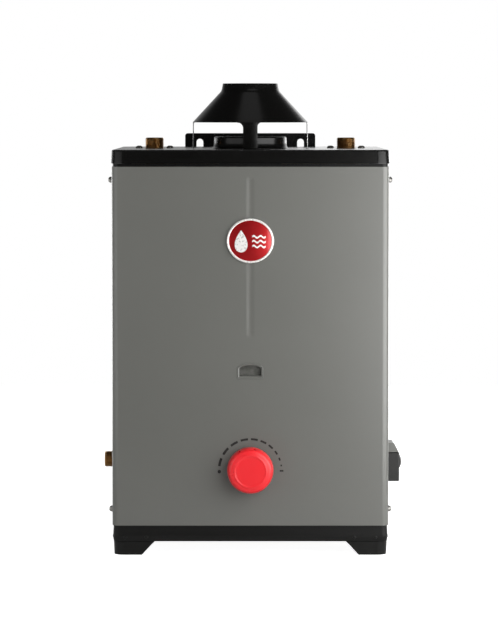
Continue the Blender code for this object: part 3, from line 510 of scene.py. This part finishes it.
def facing_side(x, y, z, sign):
    return Matrix.Translation((x, y, z)) @ Matrix.Rotation(math.radians(90 * sign), 4, "Y")


# ================================================================ casing

WINDOW_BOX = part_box("sight_window_frame")
WINDOW_LIP = 3.0 * MM       # width of the frame
WINDOW_RISE = 7.1 * MM      # height of the arch above its shoulders
KNOB_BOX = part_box("control_knob")
KNOB_Z = (KNOB_BOX[0].z + KNOB_BOX[1].z) / 2
KNOB_RADIUS = (KNOB_BOX[1].x - KNOB_BOX[0].x) / 2


def window_outline(inset, steps=24):
    """Arched outline of the sight window, in x and z."""
    low, high = WINDOW_BOX
    half = (high.x - low.x) / 2 - inset
    shoulder = high.z - WINDOW_RISE
    rise = WINDOW_RISE - inset
    points = [(-half, low.z + inset), (half, low.z + inset)]
    for i in range(steps + 1):
        angle = math.pi * i / steps
        points.append((half * math.cos(angle), shoulder + rise * math.sin(angle)))
    return points


CREASE_HALF = 7.0 * MM
CREASE_DEPTH = 0.5 * MM
CREASE_SPAN = (0.299, 0.521)    # heights of its two ends
CREASE_RUNOUT = 7 * MM


def crease(x, z):
    """Depth of the shallow upright crease pressed down the middle of the front."""
    if abs(x) >= CREASE_HALF:
        return 0.0
    across = 0.5 + 0.5 * math.cos(math.pi * x / CREASE_HALF)
    inside = min(z - CREASE_SPAN[0], CREASE_SPAN[1] - z) / CREASE_RUNOUT
    along = max(0.0, min(1.0, inside))
    return CREASE_DEPTH * across * along * along * (3 - 2 * along)


def jacket():
    """One bent sheet: front and both sides, folded in at the back, with the crease in front."""
    front_corner, rear_corner, columns = 9 * MM, 2.5 * MM, 14
    rear_y = JACKET_HIGH.y
    fold = HALF_X - 12 * MM
    path = [(fold, rear_y)]
    path += arc((HALF_X - rear_corner, rear_y - rear_corner), rear_corner, 90, 0, 5)
    path += arc((HALF_X - front_corner, FRONT_Y + front_corner), front_corner, 0, -90, 12)
    path += [(CREASE_HALF * (1 - 2 * i / columns), FRONT_Y) for i in range(columns + 1)]
    path += arc((-HALF_X + front_corner, FRONT_Y + front_corner), front_corner, -90, -180, 12)
    path += arc((-HALF_X + rear_corner, rear_y - rear_corner), rear_corner, 180, 90, 5)
    path.append((-fold, rear_y))
    levels = [JACKET_LOW.z]
    for end, inward in zip(CREASE_SPAN, (1, -1)):
        levels += sorted(end + inward * CREASE_RUNOUT * i / 6 for i in range(7))
    levels.append(JACKET_HIGH.z)
    rows = []
    for z in levels:
        rows.append([(x, y + (crease(x, z) if y < FRONT_Y + 1e-6 else 0.0), z) for x, y in path])
    obj = grid("jacket", rows)
    solidify(obj, SKIN, obj.data.polygons[0].normal.y >= 0)
    gas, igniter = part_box("gas_inlet_nipple"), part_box("igniter_locknut")
    side_y = (gas[0].y + gas[1].y) / 2
    gas_z, igniter_z = (gas[0].z + gas[1].z) / 2, (igniter[0].z + igniter[1].z) / 2
    reach = 6 * MM
    cutters = [slab("window_cut", window_outline(-0.2 * MM), FRONT_Y - reach, FRONT_Y + reach),
               rod("shaft_cut", 9 * MM, (0, FRONT_Y - reach, KNOB_Z), (0, FRONT_Y + reach, KNOB_Z))]
    for radius, x, z in ((12.3 * MM, -HALF_X, gas_z), (8 * MM, HALF_X, igniter_z)):
        cutters.append(rod("side_cut", radius, (x - reach, side_y, z), (x + reach, side_y, z)))
    combine(obj, cutters)
    bevel(obj, 0.25 * MM, 2, 60)
    finish_piece(obj, "grey_paint", ["jacket_wrap"])


def rear_panel():
    low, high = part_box("rear_panel")
    obj = cuboid("rear_panel_sheet", low, high)
    bevel(obj, 0.3 * MM, 2)
    finish_piece(obj, "grey_paint", ["rear_panel"])
    margin = 7 * MM
    for level in (0.08, 0.29, 0.50):
        for side, sign in (("left", -1), ("right", 1)):
            place = facing_rear(sign * (HALF_X - margin), high.y, level)
            screw(f"rear_screw_{side}_{round(level * 100)}", place, 3.6 * MM, 1.8 * MM)


def lid():
    """Deep-drawn cover: rolled top edge, a rim that flares, and a small bead at its lower edge."""
    flare = LID_HIGH.x - HALF_X
    top_radius, corner = 2.4 * MM, 16 * MM
    low = LID_LOW.z
    levels = [(-flare, low), (-flare, low + 1.2 * MM), (-flare * 0.8, low + 3 * MM)]
    levels += arc((top_radius, LID_TOP - top_radius), top_radius, 180, 90, 6)
    rings = []
    for inset, z in levels:
        outline = rounded_rectangle(HALF_X - inset, HALF_Y - inset, corner - inset, 12, (0, MID_Y))
        rings.append([(x, y, z) for x, y in outline])
    obj = loft("lid_cover", rings, cap_last=True)
    solidify(obj, SKIN, largest_face(obj).normal.z > 0)
    base, top = LID_TOP - 4 * MM, LID_TOP + 4 * MM
    cutters = [rod("flue_cut", 46 * MM, (0, MID_Y, base), (0, MID_Y, top), 96)]
    for node in ("cold_inlet_nipple", "hot_outlet_nipple"):
        lo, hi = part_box(node)
        x = (lo.x + hi.x) / 2
        radius = (hi.x - lo.x) / 2 + 0.9 * MM
        cutters.append(rod("nipple_cut", radius, (x, MID_Y, base), (x, MID_Y, top), 64))
    for angle in range(0, 360, 90):
        half, near, far = 4.5 * MM, 80.0 * MM, 82.5 * MM
        tool = cuboid("tab_cut", (-half, -far, base), (half, -near, top))
        tool.data.transform(about_flue(angle))
        cutters.append(tool)
    combine(obj, cutters)
    bevel(obj, 0.2 * MM, 2, 60)
    finish_piece(obj, "black_enamel", ["lid"])


def frame_band(name, node, levels):
    """Closed band of sheet; levels are (inset, height) up its outer face."""
    low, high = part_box(node)
    corner, middle = 8 * MM, (0, (high.y + low.y) / 2)
    rings = []
    for inset, z in levels:
        half_x, half_y = high.x - inset, (high.y - low.y) / 2 - inset
        outline = rounded_rectangle(half_x, half_y, corner, 8, middle)
        rings.append([(x, y, z) for x, y in outline])
    obj = loft(name, rings)
    facing = obj.data.polygons[0]
    solidify(obj, SKIN, facing.normal.dot(facing.center - Vector((0, MID_Y, facing.center.z))) > 0)
    bevel(obj, 0.2 * MM, 2, 60)
    finish_piece(obj, "black_base", [node])


def frame_bands():
    low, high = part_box("base_frame")
    seam = JACKET_LOW.z
    frame_band("base_band", "base_frame", [
        (0.3 * MM, low.z), (0.0, low.z + 0.8 * MM), (-0.55 * MM, low.z + 5.2 * MM),
        (-0.7 * MM, low.z + 7.0 * MM), (-0.6 * MM, low.z + 9.0 * MM), (0.0, seam - 1.5 * MM),
        (0.0, high.z)])
    low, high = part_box("top_frame")
    frame_band("top_band", "top_frame", [(0.0, low.z), (0.0, high.z)])


LEG_STEP = 1.3 * MM         # how far a leg steps out below the band


def legs():
    """Corner legs with two slanted flaps, and the rivets that hold them to the base band."""
    skirt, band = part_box("base_frame")[0].z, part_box("base_frame")[1].x
    rivet_z = 24.5 * MM
    for fore, sign_y in (("front", -1), ("rear", 1)):
        facing_out = facing_front if fore == "front" else facing_rear
        for side, sign_x in (("left", -1), ("right", 1)):
            node = f"leg_{fore}_{side}"
            low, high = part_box(node)
            corner = (high.x if sign_x > 0 else low.x, high.y if sign_y > 0 else low.y)
            leg(node, corner, sign_x, sign_y, skirt, high.z)
            for spot, along in (("inner", 44 * MM), ("outer", 15 * MM)):
                x, y = sign_x * (abs(corner[0]) - along), corner[1] + sign_y * 2.0 * MM
                rivet(f"{node}_rivet_{spot}", facing_out(x, y, rivet_z))
                x, y = sign_x * (band + 0.6 * MM), corner[1] - sign_y * along
                rivet(f"{node}_side_rivet_{spot}", facing_side(x, y, rivet_z, sign_x))


def leg(node, corner, sign_x, sign_y, skirt, top):
    """Bent sheet that steps out below the band, to lie flush with it, and tapers to the foot."""
    bend, sheet = 14 * MM, 1.5 * MM
    flap_top, flap_foot = 55 * MM, 38 * MM
    slant = [flap_foot + (flap_top - flap_foot) * i / 4 for i in range(5)]
    path = [(x, 0.0) for x in reversed(slant)]
    path += arc((bend, bend), bend, 270, 180, 10)
    path += [(0.0, y) for y in slant]
    lows = [max(0.0, (max(x, y) - flap_foot) / (flap_top - flap_foot)) * skirt for x, y in path]

    def put(x, y, z, step=0.0):
        out_x = step if x < bend else 0.0
        out_y = step if y < bend else 0.0
        return (corner[0] - sign_x * (x - out_x), corner[1] - sign_y * (y - out_y), z)

    rows = [[put(x, y, z) for x, y in path] for z in (top, skirt + 0.6 * MM)]
    rows.append([put(x, y, skirt - 0.6 * MM, LEG_STEP) for x, y in path])
    for rise, step in ((1.2 * MM, 0.45 * LEG_STEP), (0.0, 0.4 * LEG_STEP)):
        row = []
        for (x, y), low in zip(path, lows):
            z = min(low + rise, skirt - 0.7 * MM)
            row.append(put(x, y, z, step + low / skirt * (LEG_STEP - step)))
        rows.append(row)
    obj = grid(node + "_sheet", rows)
    obj = combine_meshes(obj, leg_foot(node, put, path[4:-4], bend))
    facing = max(obj.data.polygons, key=lambda p: abs(p.normal.y) * p.area)
    solidify(obj, sheet, facing.normal.y * sign_y > 0)
    bevel(obj, 0.3 * MM, 2, 50)
    finish_piece(obj, "black_base", [node])


def leg_foot(node, put, path, bend):
    """Flange folded inwards under the leg."""
    width = 12 * MM
    inner = []
    for x, y in path:
        if x < bend and y < bend:
            step = Vector((bend - x, bend - y)).normalized() * width
        else:
            step = (0.0, width) if y < 0.001 * MM else (width, 0.0)
        inner.append((x + step[0], y + step[1]))
    step = 0.4 * LEG_STEP
    return grid(node + "_foot", [[put(x, y, 0.0, step) for x, y in path],
                                 [put(x, y, 0.0, step) for x, y in inner]])


def combine_meshes(obj, other):
    """Join two open sheets that share an edge into one sheet."""
    bm = bmesh.new()
    bm.from_mesh(obj.data)
    bm.from_mesh(other.data)
    bmesh.ops.remove_doubles(bm, verts=bm.verts, dist=0.01 * MM)
    bmesh.ops.recalc_face_normals(bm, faces=bm.faces)
    bm.to_mesh(obj.data)
    bm.free()
    bpy.data.objects.remove(other, do_unlink=True)
    return obj


def rivet(name, place):
    radius, rise, shank = 2.3 * MM, 1.0 * MM, 1.2 * MM
    dome = [(radius * math.sin(math.radians(a)), rise * math.cos(math.radians(a)))
            for a in range(0, 91, 15)]
    dome += [(radius, -shank), (0, -shank)]
    obj = turned(name, dome, 32, closed=False, place=place)
    finish_piece(obj, "black_base")


def wall_bracket():
    """Joggled strap with two upright slots, screwed to the rear panel."""
    low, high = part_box("wall_bracket")
    thick = 2 * MM
    near, far = low.y, high.y - thick
    half, corner = high.x, 4 * MM
    joggle = (526 * MM, 532 * MM)
    levels = [low.z, *joggle, high.z - corner]
    levels += [z for _, z in arc((0, high.z - corner), corner, 0, 90, 8)][1:]
    rows = []
    for z in levels:
        over = max(0.0, z - (high.z - corner))
        pull = corner - math.sqrt(max(0.0, corner * corner - over * over))
        share = min(1.0, max(0.0, (z - joggle[0]) / (joggle[1] - joggle[0])))
        y = near + (far - near) * share
        wide = half - pull
        rows.append([(wide * (i / 6 - 1), y, z) for i in range(13)])
    obj = grid("hanging_bracket", rows)
    solidify(obj, thick, obj.data.polygons[0].normal.y < 0)
    radius, length = 5 * MM, 16 * MM
    top = high.z - 8.3 * MM - radius
    cutters = []
    for x in (-75 * MM, 75 * MM):
        outline = arc((x, top), radius, 0, 180, 20) + arc((x, top - length), radius, 180, 360, 20)
        cutters.append(slab("slot_cut", outline, near - 5 * MM, far + 8 * MM))
    combine(obj, cutters)
    bevel(obj, 0.35 * MM, 2, 50)
    finish_piece(obj, "black_enamel", ["wall_bracket"])
    for x in (-80, -30, 30, 80):
        place = facing_rear(x * MM, near + thick, 0.475)
        screw(f"bracket_screw_{x + 100}", place, 3.8 * MM, 1.7 * MM)


def screw(name, place, head, rise, nodes=()):
    """Pan-headed screw with a cross recess; its own +Z points out."""
    shank, depth = 1.8 * MM, 3 * MM
    dome = [(head * math.sin(math.radians(a)), rise * (0.25 + 0.75 * math.cos(math.radians(a))))
            for a in range(0, 91, 10)]
    dome += [(head, 0.0), (shank, 0.0), (shank, -depth), (0, -depth)]
    obj = turned(name, dome, 40, closed=False)
    wing, blade = head * 0.52, head * 0.13
    cuts = [cuboid("cross_cut", (-half_x, -half_y, rise * 0.45), (half_x, half_y, rise * 1.2))
            for half_x, half_y in ((wing, blade), (blade, wing))]
    combine(obj, cuts)
    bevel(obj, 0.1 * MM, 1, 50)
    obj.data.transform(place)
    finish_piece(obj, "plated_steel", nodes)


def casing_screws():
    for side, sign in (("left", -1), ("right", 1)):
        for spot, turn in (("outer", -15), ("inner", 25)):
            node = f"lid_screw_{side}_{spot}"
            low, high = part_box(node)
            middle = (low + high) / 2
            place = Matrix.Translation((middle.x, middle.y, LID_TOP + 0.05 * MM))
            place = place @ Matrix.Rotation(math.radians(turn), 4, "Z")
            rise = high.z - LID_TOP - 0.1 * MM
            screw(node + "_head", place, (high.x - low.x) / 2, rise, [node])
        for level in ("upper", "lower"):
            node = f"side_screw_{side}_{level}"
            low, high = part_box(node)
            middle = (low + high) / 2
            rise = (high.x if sign > 0 else -low.x) - HALF_X
            place = facing_side(sign * HALF_X, middle.y, middle.z, sign)
            screw(node + "_head", place, (high.z - low.z) / 2, rise, [node])


# ================================================================ flue, hood and pipes

def flue_collar():
    low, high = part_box("flue_collar")
    top, foot = high.z, low.z
    edge = arc((50.1 * MM, top - 1.5 * MM), 1.5 * MM, 0, 180, 8)
    flare = [(51.75, 7), (52.0, 3.8), (52.7, 1.8), (53.9, 0.5), (55.2, 0.1), (55.2, 0)]
    flare = [(r * MM, foot + h * MM) for r, h in flare]
    inner = [(53.0 * MM, foot), (51.0 * MM, foot + 1.8 * MM), (50.5 * MM, foot + 4.5 * MM),
             (49.9 * MM, top - 1.8 * MM), (48.6 * MM, top - 2.4 * MM)]
    profile = edge + inner[::-1] + flare[::-1]
    obj = turned("flue_collar_ring", profile, 128, place=about_flue())
    finish_piece(obj, "black_enamel", ["flue_collar"])


HOOD_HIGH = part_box("draft_hood")[1]
HOOD_RADIUS = HOOD_HIGH.x
HOOD_RIM = LID_TOP + 36.7 * MM


def hood_profile():
    """Outer face of the hood, from the collar's top down to the rim."""
    top = HOOD_HIGH.z
    points = [(38.9, 0.0), (39.25, -0.4), (39.5, -2.5), (40.1, -5.6), (40.5, -7.6), (41.0, -9.4),
              (41.9, -11.2), (43.3, -13.0), (45.0, -14.8)]
    points = [(r * MM, top + h * MM) for r, h in points]
    rim = HOOD_RADIUS - 0.2 * MM
    start = Vector(points[-1])
    end = Vector((rim, HOOD_RIM + 0.6 * MM))
    points += [tuple(start.lerp(end, i / 6)) for i in range(1, 7)]
    points.append((HOOD_RADIUS, HOOD_RIM))
    return points


def draft_hood():
    outer = hood_profile()
    wall = 0.9 * MM
    inner = []
    for before, here, after in zip(outer, outer[1:], outer[2:]):
        along = (Vector(after) - Vector(before)).normalized()
        inner.append((here[0] + along.y * wall, here[1] - along.x * wall))
    inner = [(outer[0][0] - wall * 0.7, outer[0][1] - 0.3 * MM)] + inner
    inner.append((HOOD_RADIUS - 1.3 * MM, HOOD_RIM))
    cone = turned("draft_hood_cone", outer + inner[::-1], 160, place=about_flue())
    finish_piece(cone, "black_enamel", ["draft_hood"])
    for name, angle in (("front", 0), ("right", 90), ("rear", 180), ("left", 270)):
        hood_leg(name, angle)


def hood_leg(name, angle):
    """Strip cut with the cone, one side with a wide fillet and the other nearly square."""
    half, tab, sheet = 10.2 * MM, 3.4 * MM, 0.7 * MM
    fillets = (8.0 * MM, 1.5 * MM)
    top, foot = HOOD_RIM + 0.8 * MM, LID_TOP + 0.4 * MM

    def widths(z):
        drop = HOOD_RIM - z
        spread = []
        for fillet in fillets:
            extra = 0.0
            if drop < fillet:
                rise = fillet - max(0.0, drop)
                extra = fillet - math.sqrt(max(0.0, fillet * fillet - rise * rise))
            spread.append(half + extra)
        return spread

    levels = [top, HOOD_RIM]
    levels += [HOOD_RIM - fillets[0] * (i / 10) ** 1.5 for i in range(1, 11)]
    levels += [HOOD_RIM - 20 * MM, foot + 1.5 * MM, foot]
    rows = []
    for z in levels:
        left, right = widths(z)
        if z <= foot + 0.1 * MM:
            left = right = half - 1.2 * MM
        rows.append([(-left + (left + right) * i / 12, z) for i in range(13)])
    for z in (LID_TOP - 0.8 * MM, LID_TOP - 5.5 * MM):
        rows.append([(-tab + 2 * tab * i / 12, z) for i in range(13)])
    wrapped = []
    for row in rows:
        line = []
        for across, z in row:
            turn = across / HOOD_RADIUS
            reach = HOOD_RADIUS - 0.05 * MM - max(0.0, z - HOOD_RIM)
            line.append((reach * math.sin(turn), -reach * math.cos(turn), z))
        wrapped.append(line)
    obj = grid(f"draft_hood_leg_{name}", wrapped)
    solidify(obj, sheet, obj.data.polygons[0].normal.y < 0)
    bevel(obj, 0.25 * MM, 2, 60)
    obj.data.transform(about_flue(angle))
    finish_piece(obj, "black_enamel", ["draft_hood"])


PIPE_PITCH = 1.814 * MM     # 14 threads to the inch


def threaded(name, node, outer, bore, length, thread, place):
    """Pipe end with a real helical thread near its free end, which is at height 0 going down."""
    depth = 0.62 * PIPE_PITCH
    segments, steps_per_turn = 72, 12
    spokes = [2 * math.pi * i / segments for i in range(segments)]
    root = outer - depth
    above = [(bore, -0.4 * MM), (bore + 0.5 * MM, 0.0), (root - 0.5 * MM, 0.0)]
    below = [(root, -thread - 0.8 * MM), (outer, -thread - 2.2 * MM), (outer, -length),
             (bore, -length)]
    rings = [([radius] * segments, height) for radius, height in above]
    for k in range(int(thread / PIPE_PITCH * steps_per_turn) + 1):
        height = -0.6 * MM - k * PIPE_PITCH / steps_per_turn
        fade = min(1.0, (k + 1) / 10.0)
        radii = []
        for i in range(segments):
            phase = (height / PIPE_PITCH - i / segments) % 1.0
            crest = min(1.0, max(0.0, (1 - abs(2 * phase - 1)) * 1.35 - 0.15))
            radii.append(root + depth * crest * fade)
        rings.append((radii, height))
    rings += [([radius] * segments, height) for radius, height in below]
    rings.append(rings[0])
    obj = loft(name, [[(r * math.cos(a), r * math.sin(a), height) for r, a in zip(radii, spokes)]
                      for radii, height in rings])
    obj.data.transform(place)
    finish_piece(obj, "brass", [node])


def pipes():
    for node in ("cold_inlet_nipple", "hot_outlet_nipple"):
        low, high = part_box(node)
        place = Matrix.Translation(((low.x + high.x) / 2, MID_Y, high.z))
        threaded(node + "_thread", node, (high.x - low.x) / 2, 10.4 * MM, high.z - low.z, 17 * MM,
                 place)
    low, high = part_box("gas_inlet_nipple")
    middle = (low + high) / 2
    threaded("gas_inlet_thread", "gas_inlet_nipple", (high.z - low.z) / 2, 8 * MM, high.x - low.x,
             13 * MM, facing_side(low.x, middle.y, middle.z, -1))


# ================================================================ front panel

def badge():
    """Oval badge: a pale rim round a domed red field."""
    low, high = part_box("badge_bezel")
    half_x, half_z = (high.x - low.x) / 2, (high.z - low.z) / 2
    place = facing_front(0, high.y, (low.z + high.z) / 2)
    rim = half_z / MM
    profile = [(0.0, 0.0), (0.0, 1.2), (0.2, 2.2), (0.6, 3.0), (1.2, 3.5), (1.8, 3.6), (2.4, 3.3),
               (2.8, 2.7), (3.0, 2.0), (3.0, 0.0)]
    profile = [((rim - inset) * MM, h * MM) for inset, h in profile]
    stretch = half_x / half_z
    obj = turned("badge_rim", profile, 160, place=place, stretch=stretch)
    finish_piece(obj, "badge_silver", ["badge_bezel"])
    field = half_z - 2.95 * MM
    edge, crown = 2.0 * MM, 2.3 * MM

    def dome(x, z):
        return edge + crown * (1 - (x / (stretch * field)) ** 2 - (z / field) ** 2)

    profile = [(field * i / 16, dome(0, field * i / 16)) for i in range(17)]
    profile += [(field, 0.0), (0.0, 0.0)]
    obj = turned("badge_face", profile, 160, closed=False, place=place, stretch=stretch)
    finish_piece(obj, "badge_red", ["badge_plate"])
    badge_marks(dome, place)


def badge_marks(dome, place):
    """Plain raised mark on the badge: a drop of water and three ripples."""
    sheet, proud, ripple = 0.5 * MM, 0.3 * MM, 1.25

    def on_dome(points):
        return [(x * MM, z * MM, dome(x * MM, z * MM) + proud) for x, z in points]

    middle_x, middle_z = -12.6, -6.0
    turns = [2 * math.pi * i / 48 for i in range(48)]
    drop = [(11.4 * math.sin(t) * math.sin(t / 2), 5.4 + 15.2 * math.cos(t)) for t in turns]
    rings = [on_dome([(middle_x + x * share, middle_z + z * share) for x, z in drop])
             for share in (1.0, 0.75, 0.5, 0.25, 0.02)]
    marks = [loft("badge_drop", rings, cap_last=True)]
    for number, level in enumerate((5.6, -1.0, -7.6)):
        spine = [(2.4 + 18.6 * i / 28, level + 1.35 * math.sin(math.pi * i / 7)) for i in range(29)]
        rows = [on_dome([(x, z + ripple), (x, z - ripple)]) for x, z in spine]
        marks.append(grid(f"badge_ripple_{number + 1}", rows))
    for obj in marks:
        solidify(obj, sheet, largest_face(obj).normal.z > 0)
        bevel(obj, 0.1 * MM, 2, 50)
        obj.data.transform(place)
        finish_piece(obj, "badge_silver")


def sight_window():
    low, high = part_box("sight_window_frame")
    lip = [(0.0, 0.5), (0.15, 0.15), (0.5, 0.0), (1.3, 0.1), (2.2, 0.7), (2.8, 1.9)]
    lip = [(inset * MM, low.y + back * MM) for inset, back in lip]
    lip = [(0.0, high.y), *lip, (WINDOW_LIP, low.y + 3.2 * MM), (WINDOW_LIP, high.y)]
    rings = [[(x, y, z) for x, z in window_outline(inset)] for inset, y in lip]
    rings.append(rings[0])
    obj = loft("sight_window_lip", rings)
    finish_piece(obj, "grey_paint", ["sight_window_frame"])
    low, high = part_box("sight_window_pane")
    obj = slab("sight_window_sheet", window_outline(WINDOW_LIP - 2 * MM), low.y, high.y)
    bevel(obj, 0.15 * MM, 1, 50)
    finish_piece(obj, "mica", ["sight_window_pane"])


def dial_marks():
    """Printed scale round the knob: a dot, dashes that thin out clockwise, and a bar."""
    radius, middle, count = 43.0 * MM, KNOB_Z - 1.1 * MM, 10
    front, back = FRONT_Y - 0.06 * MM, FRONT_Y + 0.2 * MM
    angle, pitch, closer = 164.7, 22.5, 1.3
    for i in range(count):
        share = i / (count - 1)
        sweep = 15.0 - 12.0 * share ** 2
        width = (3.5 - 1.5 * share) * MM
        outer = arc((0, middle), radius + width / 2, angle - sweep / 2, angle + sweep / 2, 8)
        inner = arc((0, middle), radius - width / 2, angle + sweep / 2, angle - sweep / 2, 8)
        obj = slab(f"dial_dash_{i + 1}", outer + inner, front, back)
        finish_piece(obj, "dial_ink")
        angle -= pitch
        pitch -= closer
    dot = arc((-radius + 0.4 * MM, middle - 1.8 * MM), 2.4 * MM, 0, 360, 32)[:-1]
    finish_piece(slab("dial_dot", dot, front, back), "dial_ink")
    cap = 1.1 * MM
    bar = arc((radius + 1.6 * MM, middle - 0.7 * MM), cap, -90, 90, 8)
    bar += arc((radius - 1.7 * MM, middle - 0.7 * MM), cap, 90, 270, 8)
    finish_piece(slab("dial_bar", bar, front, back), "dial_ink")


def knob():
    """Domed knob with a ring bead on its face, a raised pointer and two moulding notches."""
    low, high = KNOB_BOX
    place = facing_front(0, high.y, KNOB_Z)
    front, rim = (high.y - low.y) / MM, KNOB_RADIUS / MM
    face = [(0, front - 0.7), (10.0, front - 0.68), (18.6, front - 0.62), (20.0, front - 0.5),
            (20.9, front - 0.15), (21.7, front), (22.5, front - 0.15), (23.3, front - 0.6),
            (24.4, front - 0.75), (26.0, front - 1.0), (27.6, front - 1.5), (29.0, front - 2.5),
            (30.1, front - 4.2), (30.9, front - 7.2), (31.3, front - 11.2), (31.6, front - 16.0),
            (rim, 0.6), (rim - 0.3, 0.0)]
    hollow = [(rim - 1.8, 0.0), (rim - 2.4, 8.5), (24.0, 14.5), (9.0, 15.5), (9.0, 0.5), (4.3, 0.5),
              (4.3, 12.0), (0, 12.0)]
    profile = [(r * MM, h * MM) for r, h in face + hollow]
    obj = turned("knob_cap", profile, 160, closed=False, place=place)
    notch, reach = 1.3 * MM, KNOB_RADIUS - 1.2 * MM
    notches = []
    for angle in (math.radians(119), math.radians(79)):
        x, z = reach * math.cos(angle), KNOB_Z + reach * math.sin(angle)
        notches.append(rod("notch_cut", notch, (x, low.y - 5 * MM, z), (x, low.y + 9 * MM, z), 20))
    combine(obj, notches)
    finish_piece(obj, "red_plastic", ["control_knob"], "knob")
    shoulder = ((-30.0, 4.0), (-28.9, 2.4), (-27.4, 1.4), (-25.8, 0.95), (-24.3, 0.7), (-23.0, 0.4))
    knob_pointer([(x * MM, high.y - (front - rise) * MM) for x, rise in shoulder])


def knob_pointer(spine):
    """Small rounded ridge that follows the knob's shoulder."""
    tilt, half, height = math.radians(10), 1.5 * MM, 0.75 * MM
    angles = [math.radians(a) for a in range(0, 360, 30)]
    rings = [[(x, y - height * math.sin(a), half * math.cos(a)) for a in angles] for x, y in spine]
    obj = loft("knob_pointer", rings, cap_first=True, cap_last=True)
    obj.data.transform(Matrix.Translation((0, 0, KNOB_Z)) @ Matrix.Rotation(-tilt, 4, "Y"))
    finish_piece(obj, "red_plastic", (), "knob")


# ================================================================ igniter

def igniter():
    """Push igniter: a block on the right side with a neck through it, and a round button."""
    low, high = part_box("igniter_housing")
    foot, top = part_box("igniter_button")
    wall, middle, radius = HALF_X + 0.3 * MM, (foot + top) / 2, (top.z - foot.z) / 2

    def along(name, size, start, end):
        return rod(name, size, (start, middle.y, middle.z), (end, middle.y, middle.z))

    body = cuboid("igniter_case", (wall, low.y, low.z), high)
    bevel(body, 1.6 * MM, 4, 40)
    combine(body, [along("recess_cut", radius + 0.5 * MM, foot.x - 5 * MM, high.x + 5 * MM)])
    combine(body, [along("neck", 7.4 * MM, low.x, foot.x - 5.2 * MM)], "UNION")
    bevel(body, 0.3 * MM, 2, 60)
    finish_piece(body, "black_plastic", ["igniter_housing"])

    r, h = radius / MM, (top.x - foot.x) / MM
    dome = [(0, h), (2.6, h - 0.12), (5.0, h - 0.5), (7.2, h - 1.2), (9.0, h - 2.2),
            (10.3, h - 3.3), (11.1, h - 4.4), (r, h - 5.6), (r, 0.3), (r - 0.3, 0), (0, 0)]
    place = facing_side(foot.x, middle.y, middle.z, 1)
    obj = turned("igniter_cap", [(a * MM, b * MM) for a, b in dome], 96, closed=False, place=place)
    finish_piece(obj, "black_plastic", ["igniter_button"], "igniter_push")
    igniter_hood(wall)


def igniter_hood(wall):
    """Folded grey cap over the igniter: sloped outer face, closed front and back cheeks."""
    low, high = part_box("igniter_hood")
    near_top, near_low = HALF_X + 12.0 * MM, high.x
    bend = 2.0 * MM
    side = [(wall, low.z), (wall, high.z)]
    corner = Vector((near_top, high.z))
    towards = Vector((-1, 0))
    away = (Vector((near_low, low.z)) - corner).normalized()
    half_angle = towards.angle(away) / 2
    centre = corner + (towards + away).normalized() * bend / math.sin(half_angle)
    reach = bend / math.tan(half_angle)
    start = corner + towards * reach - centre
    end = corner + away * reach - centre
    first = math.degrees(math.atan2(start.y, start.x))
    last = math.degrees(math.atan2(end.y, end.x))
    side += arc(centre, bend, first, last, 6)
    side.append((near_low, low.z))
    bm = bmesh.new()
    front, rear = ([bm.verts.new((x, y, z)) for x, z in side] for y in (low.y, high.y))
    bm.faces.new(front)
    bm.faces.new(list(reversed(rear)))
    for i in range(1, len(side) - 1):
        bm.faces.new((front[i], front[i + 1], rear[i + 1], rear[i]))
    obj = mesh_object("igniter_cover", bm)
    cheek = largest_face(obj)
    solidify(obj, SKIN, cheek.normal.y * (cheek.center.y - (low.y + high.y) / 2) > 0)
    bevel(obj, 0.3 * MM, 2, 50)
    finish_piece(obj, "grey_paint", ["igniter_hood"])


# ================================================================ CAD pieces that stay

def paint_kept_nodes():
    """Nodes whose shape is right keep it, and take the finish of their slot."""
    slots = {row["node"]: row["material_slot"] for row in frame["record"]["subparts"]}
    for name, obj in frame["nodes"].items():
        if obj.hide_render:
            continue
        obj.data.materials.clear()
        obj.data.materials.append(MATERIALS[slots[name]])


# ================================================================ assembly

camera()
studio()
MATERIALS = make_materials()
jacket()
rear_panel()
lid()
frame_bands()
legs()
wall_bracket()
casing_screws()
flue_collar()
draft_hood()
pipes()
badge()
sight_window()
dial_marks()
knob()
igniter()
paint_kept_nodes()
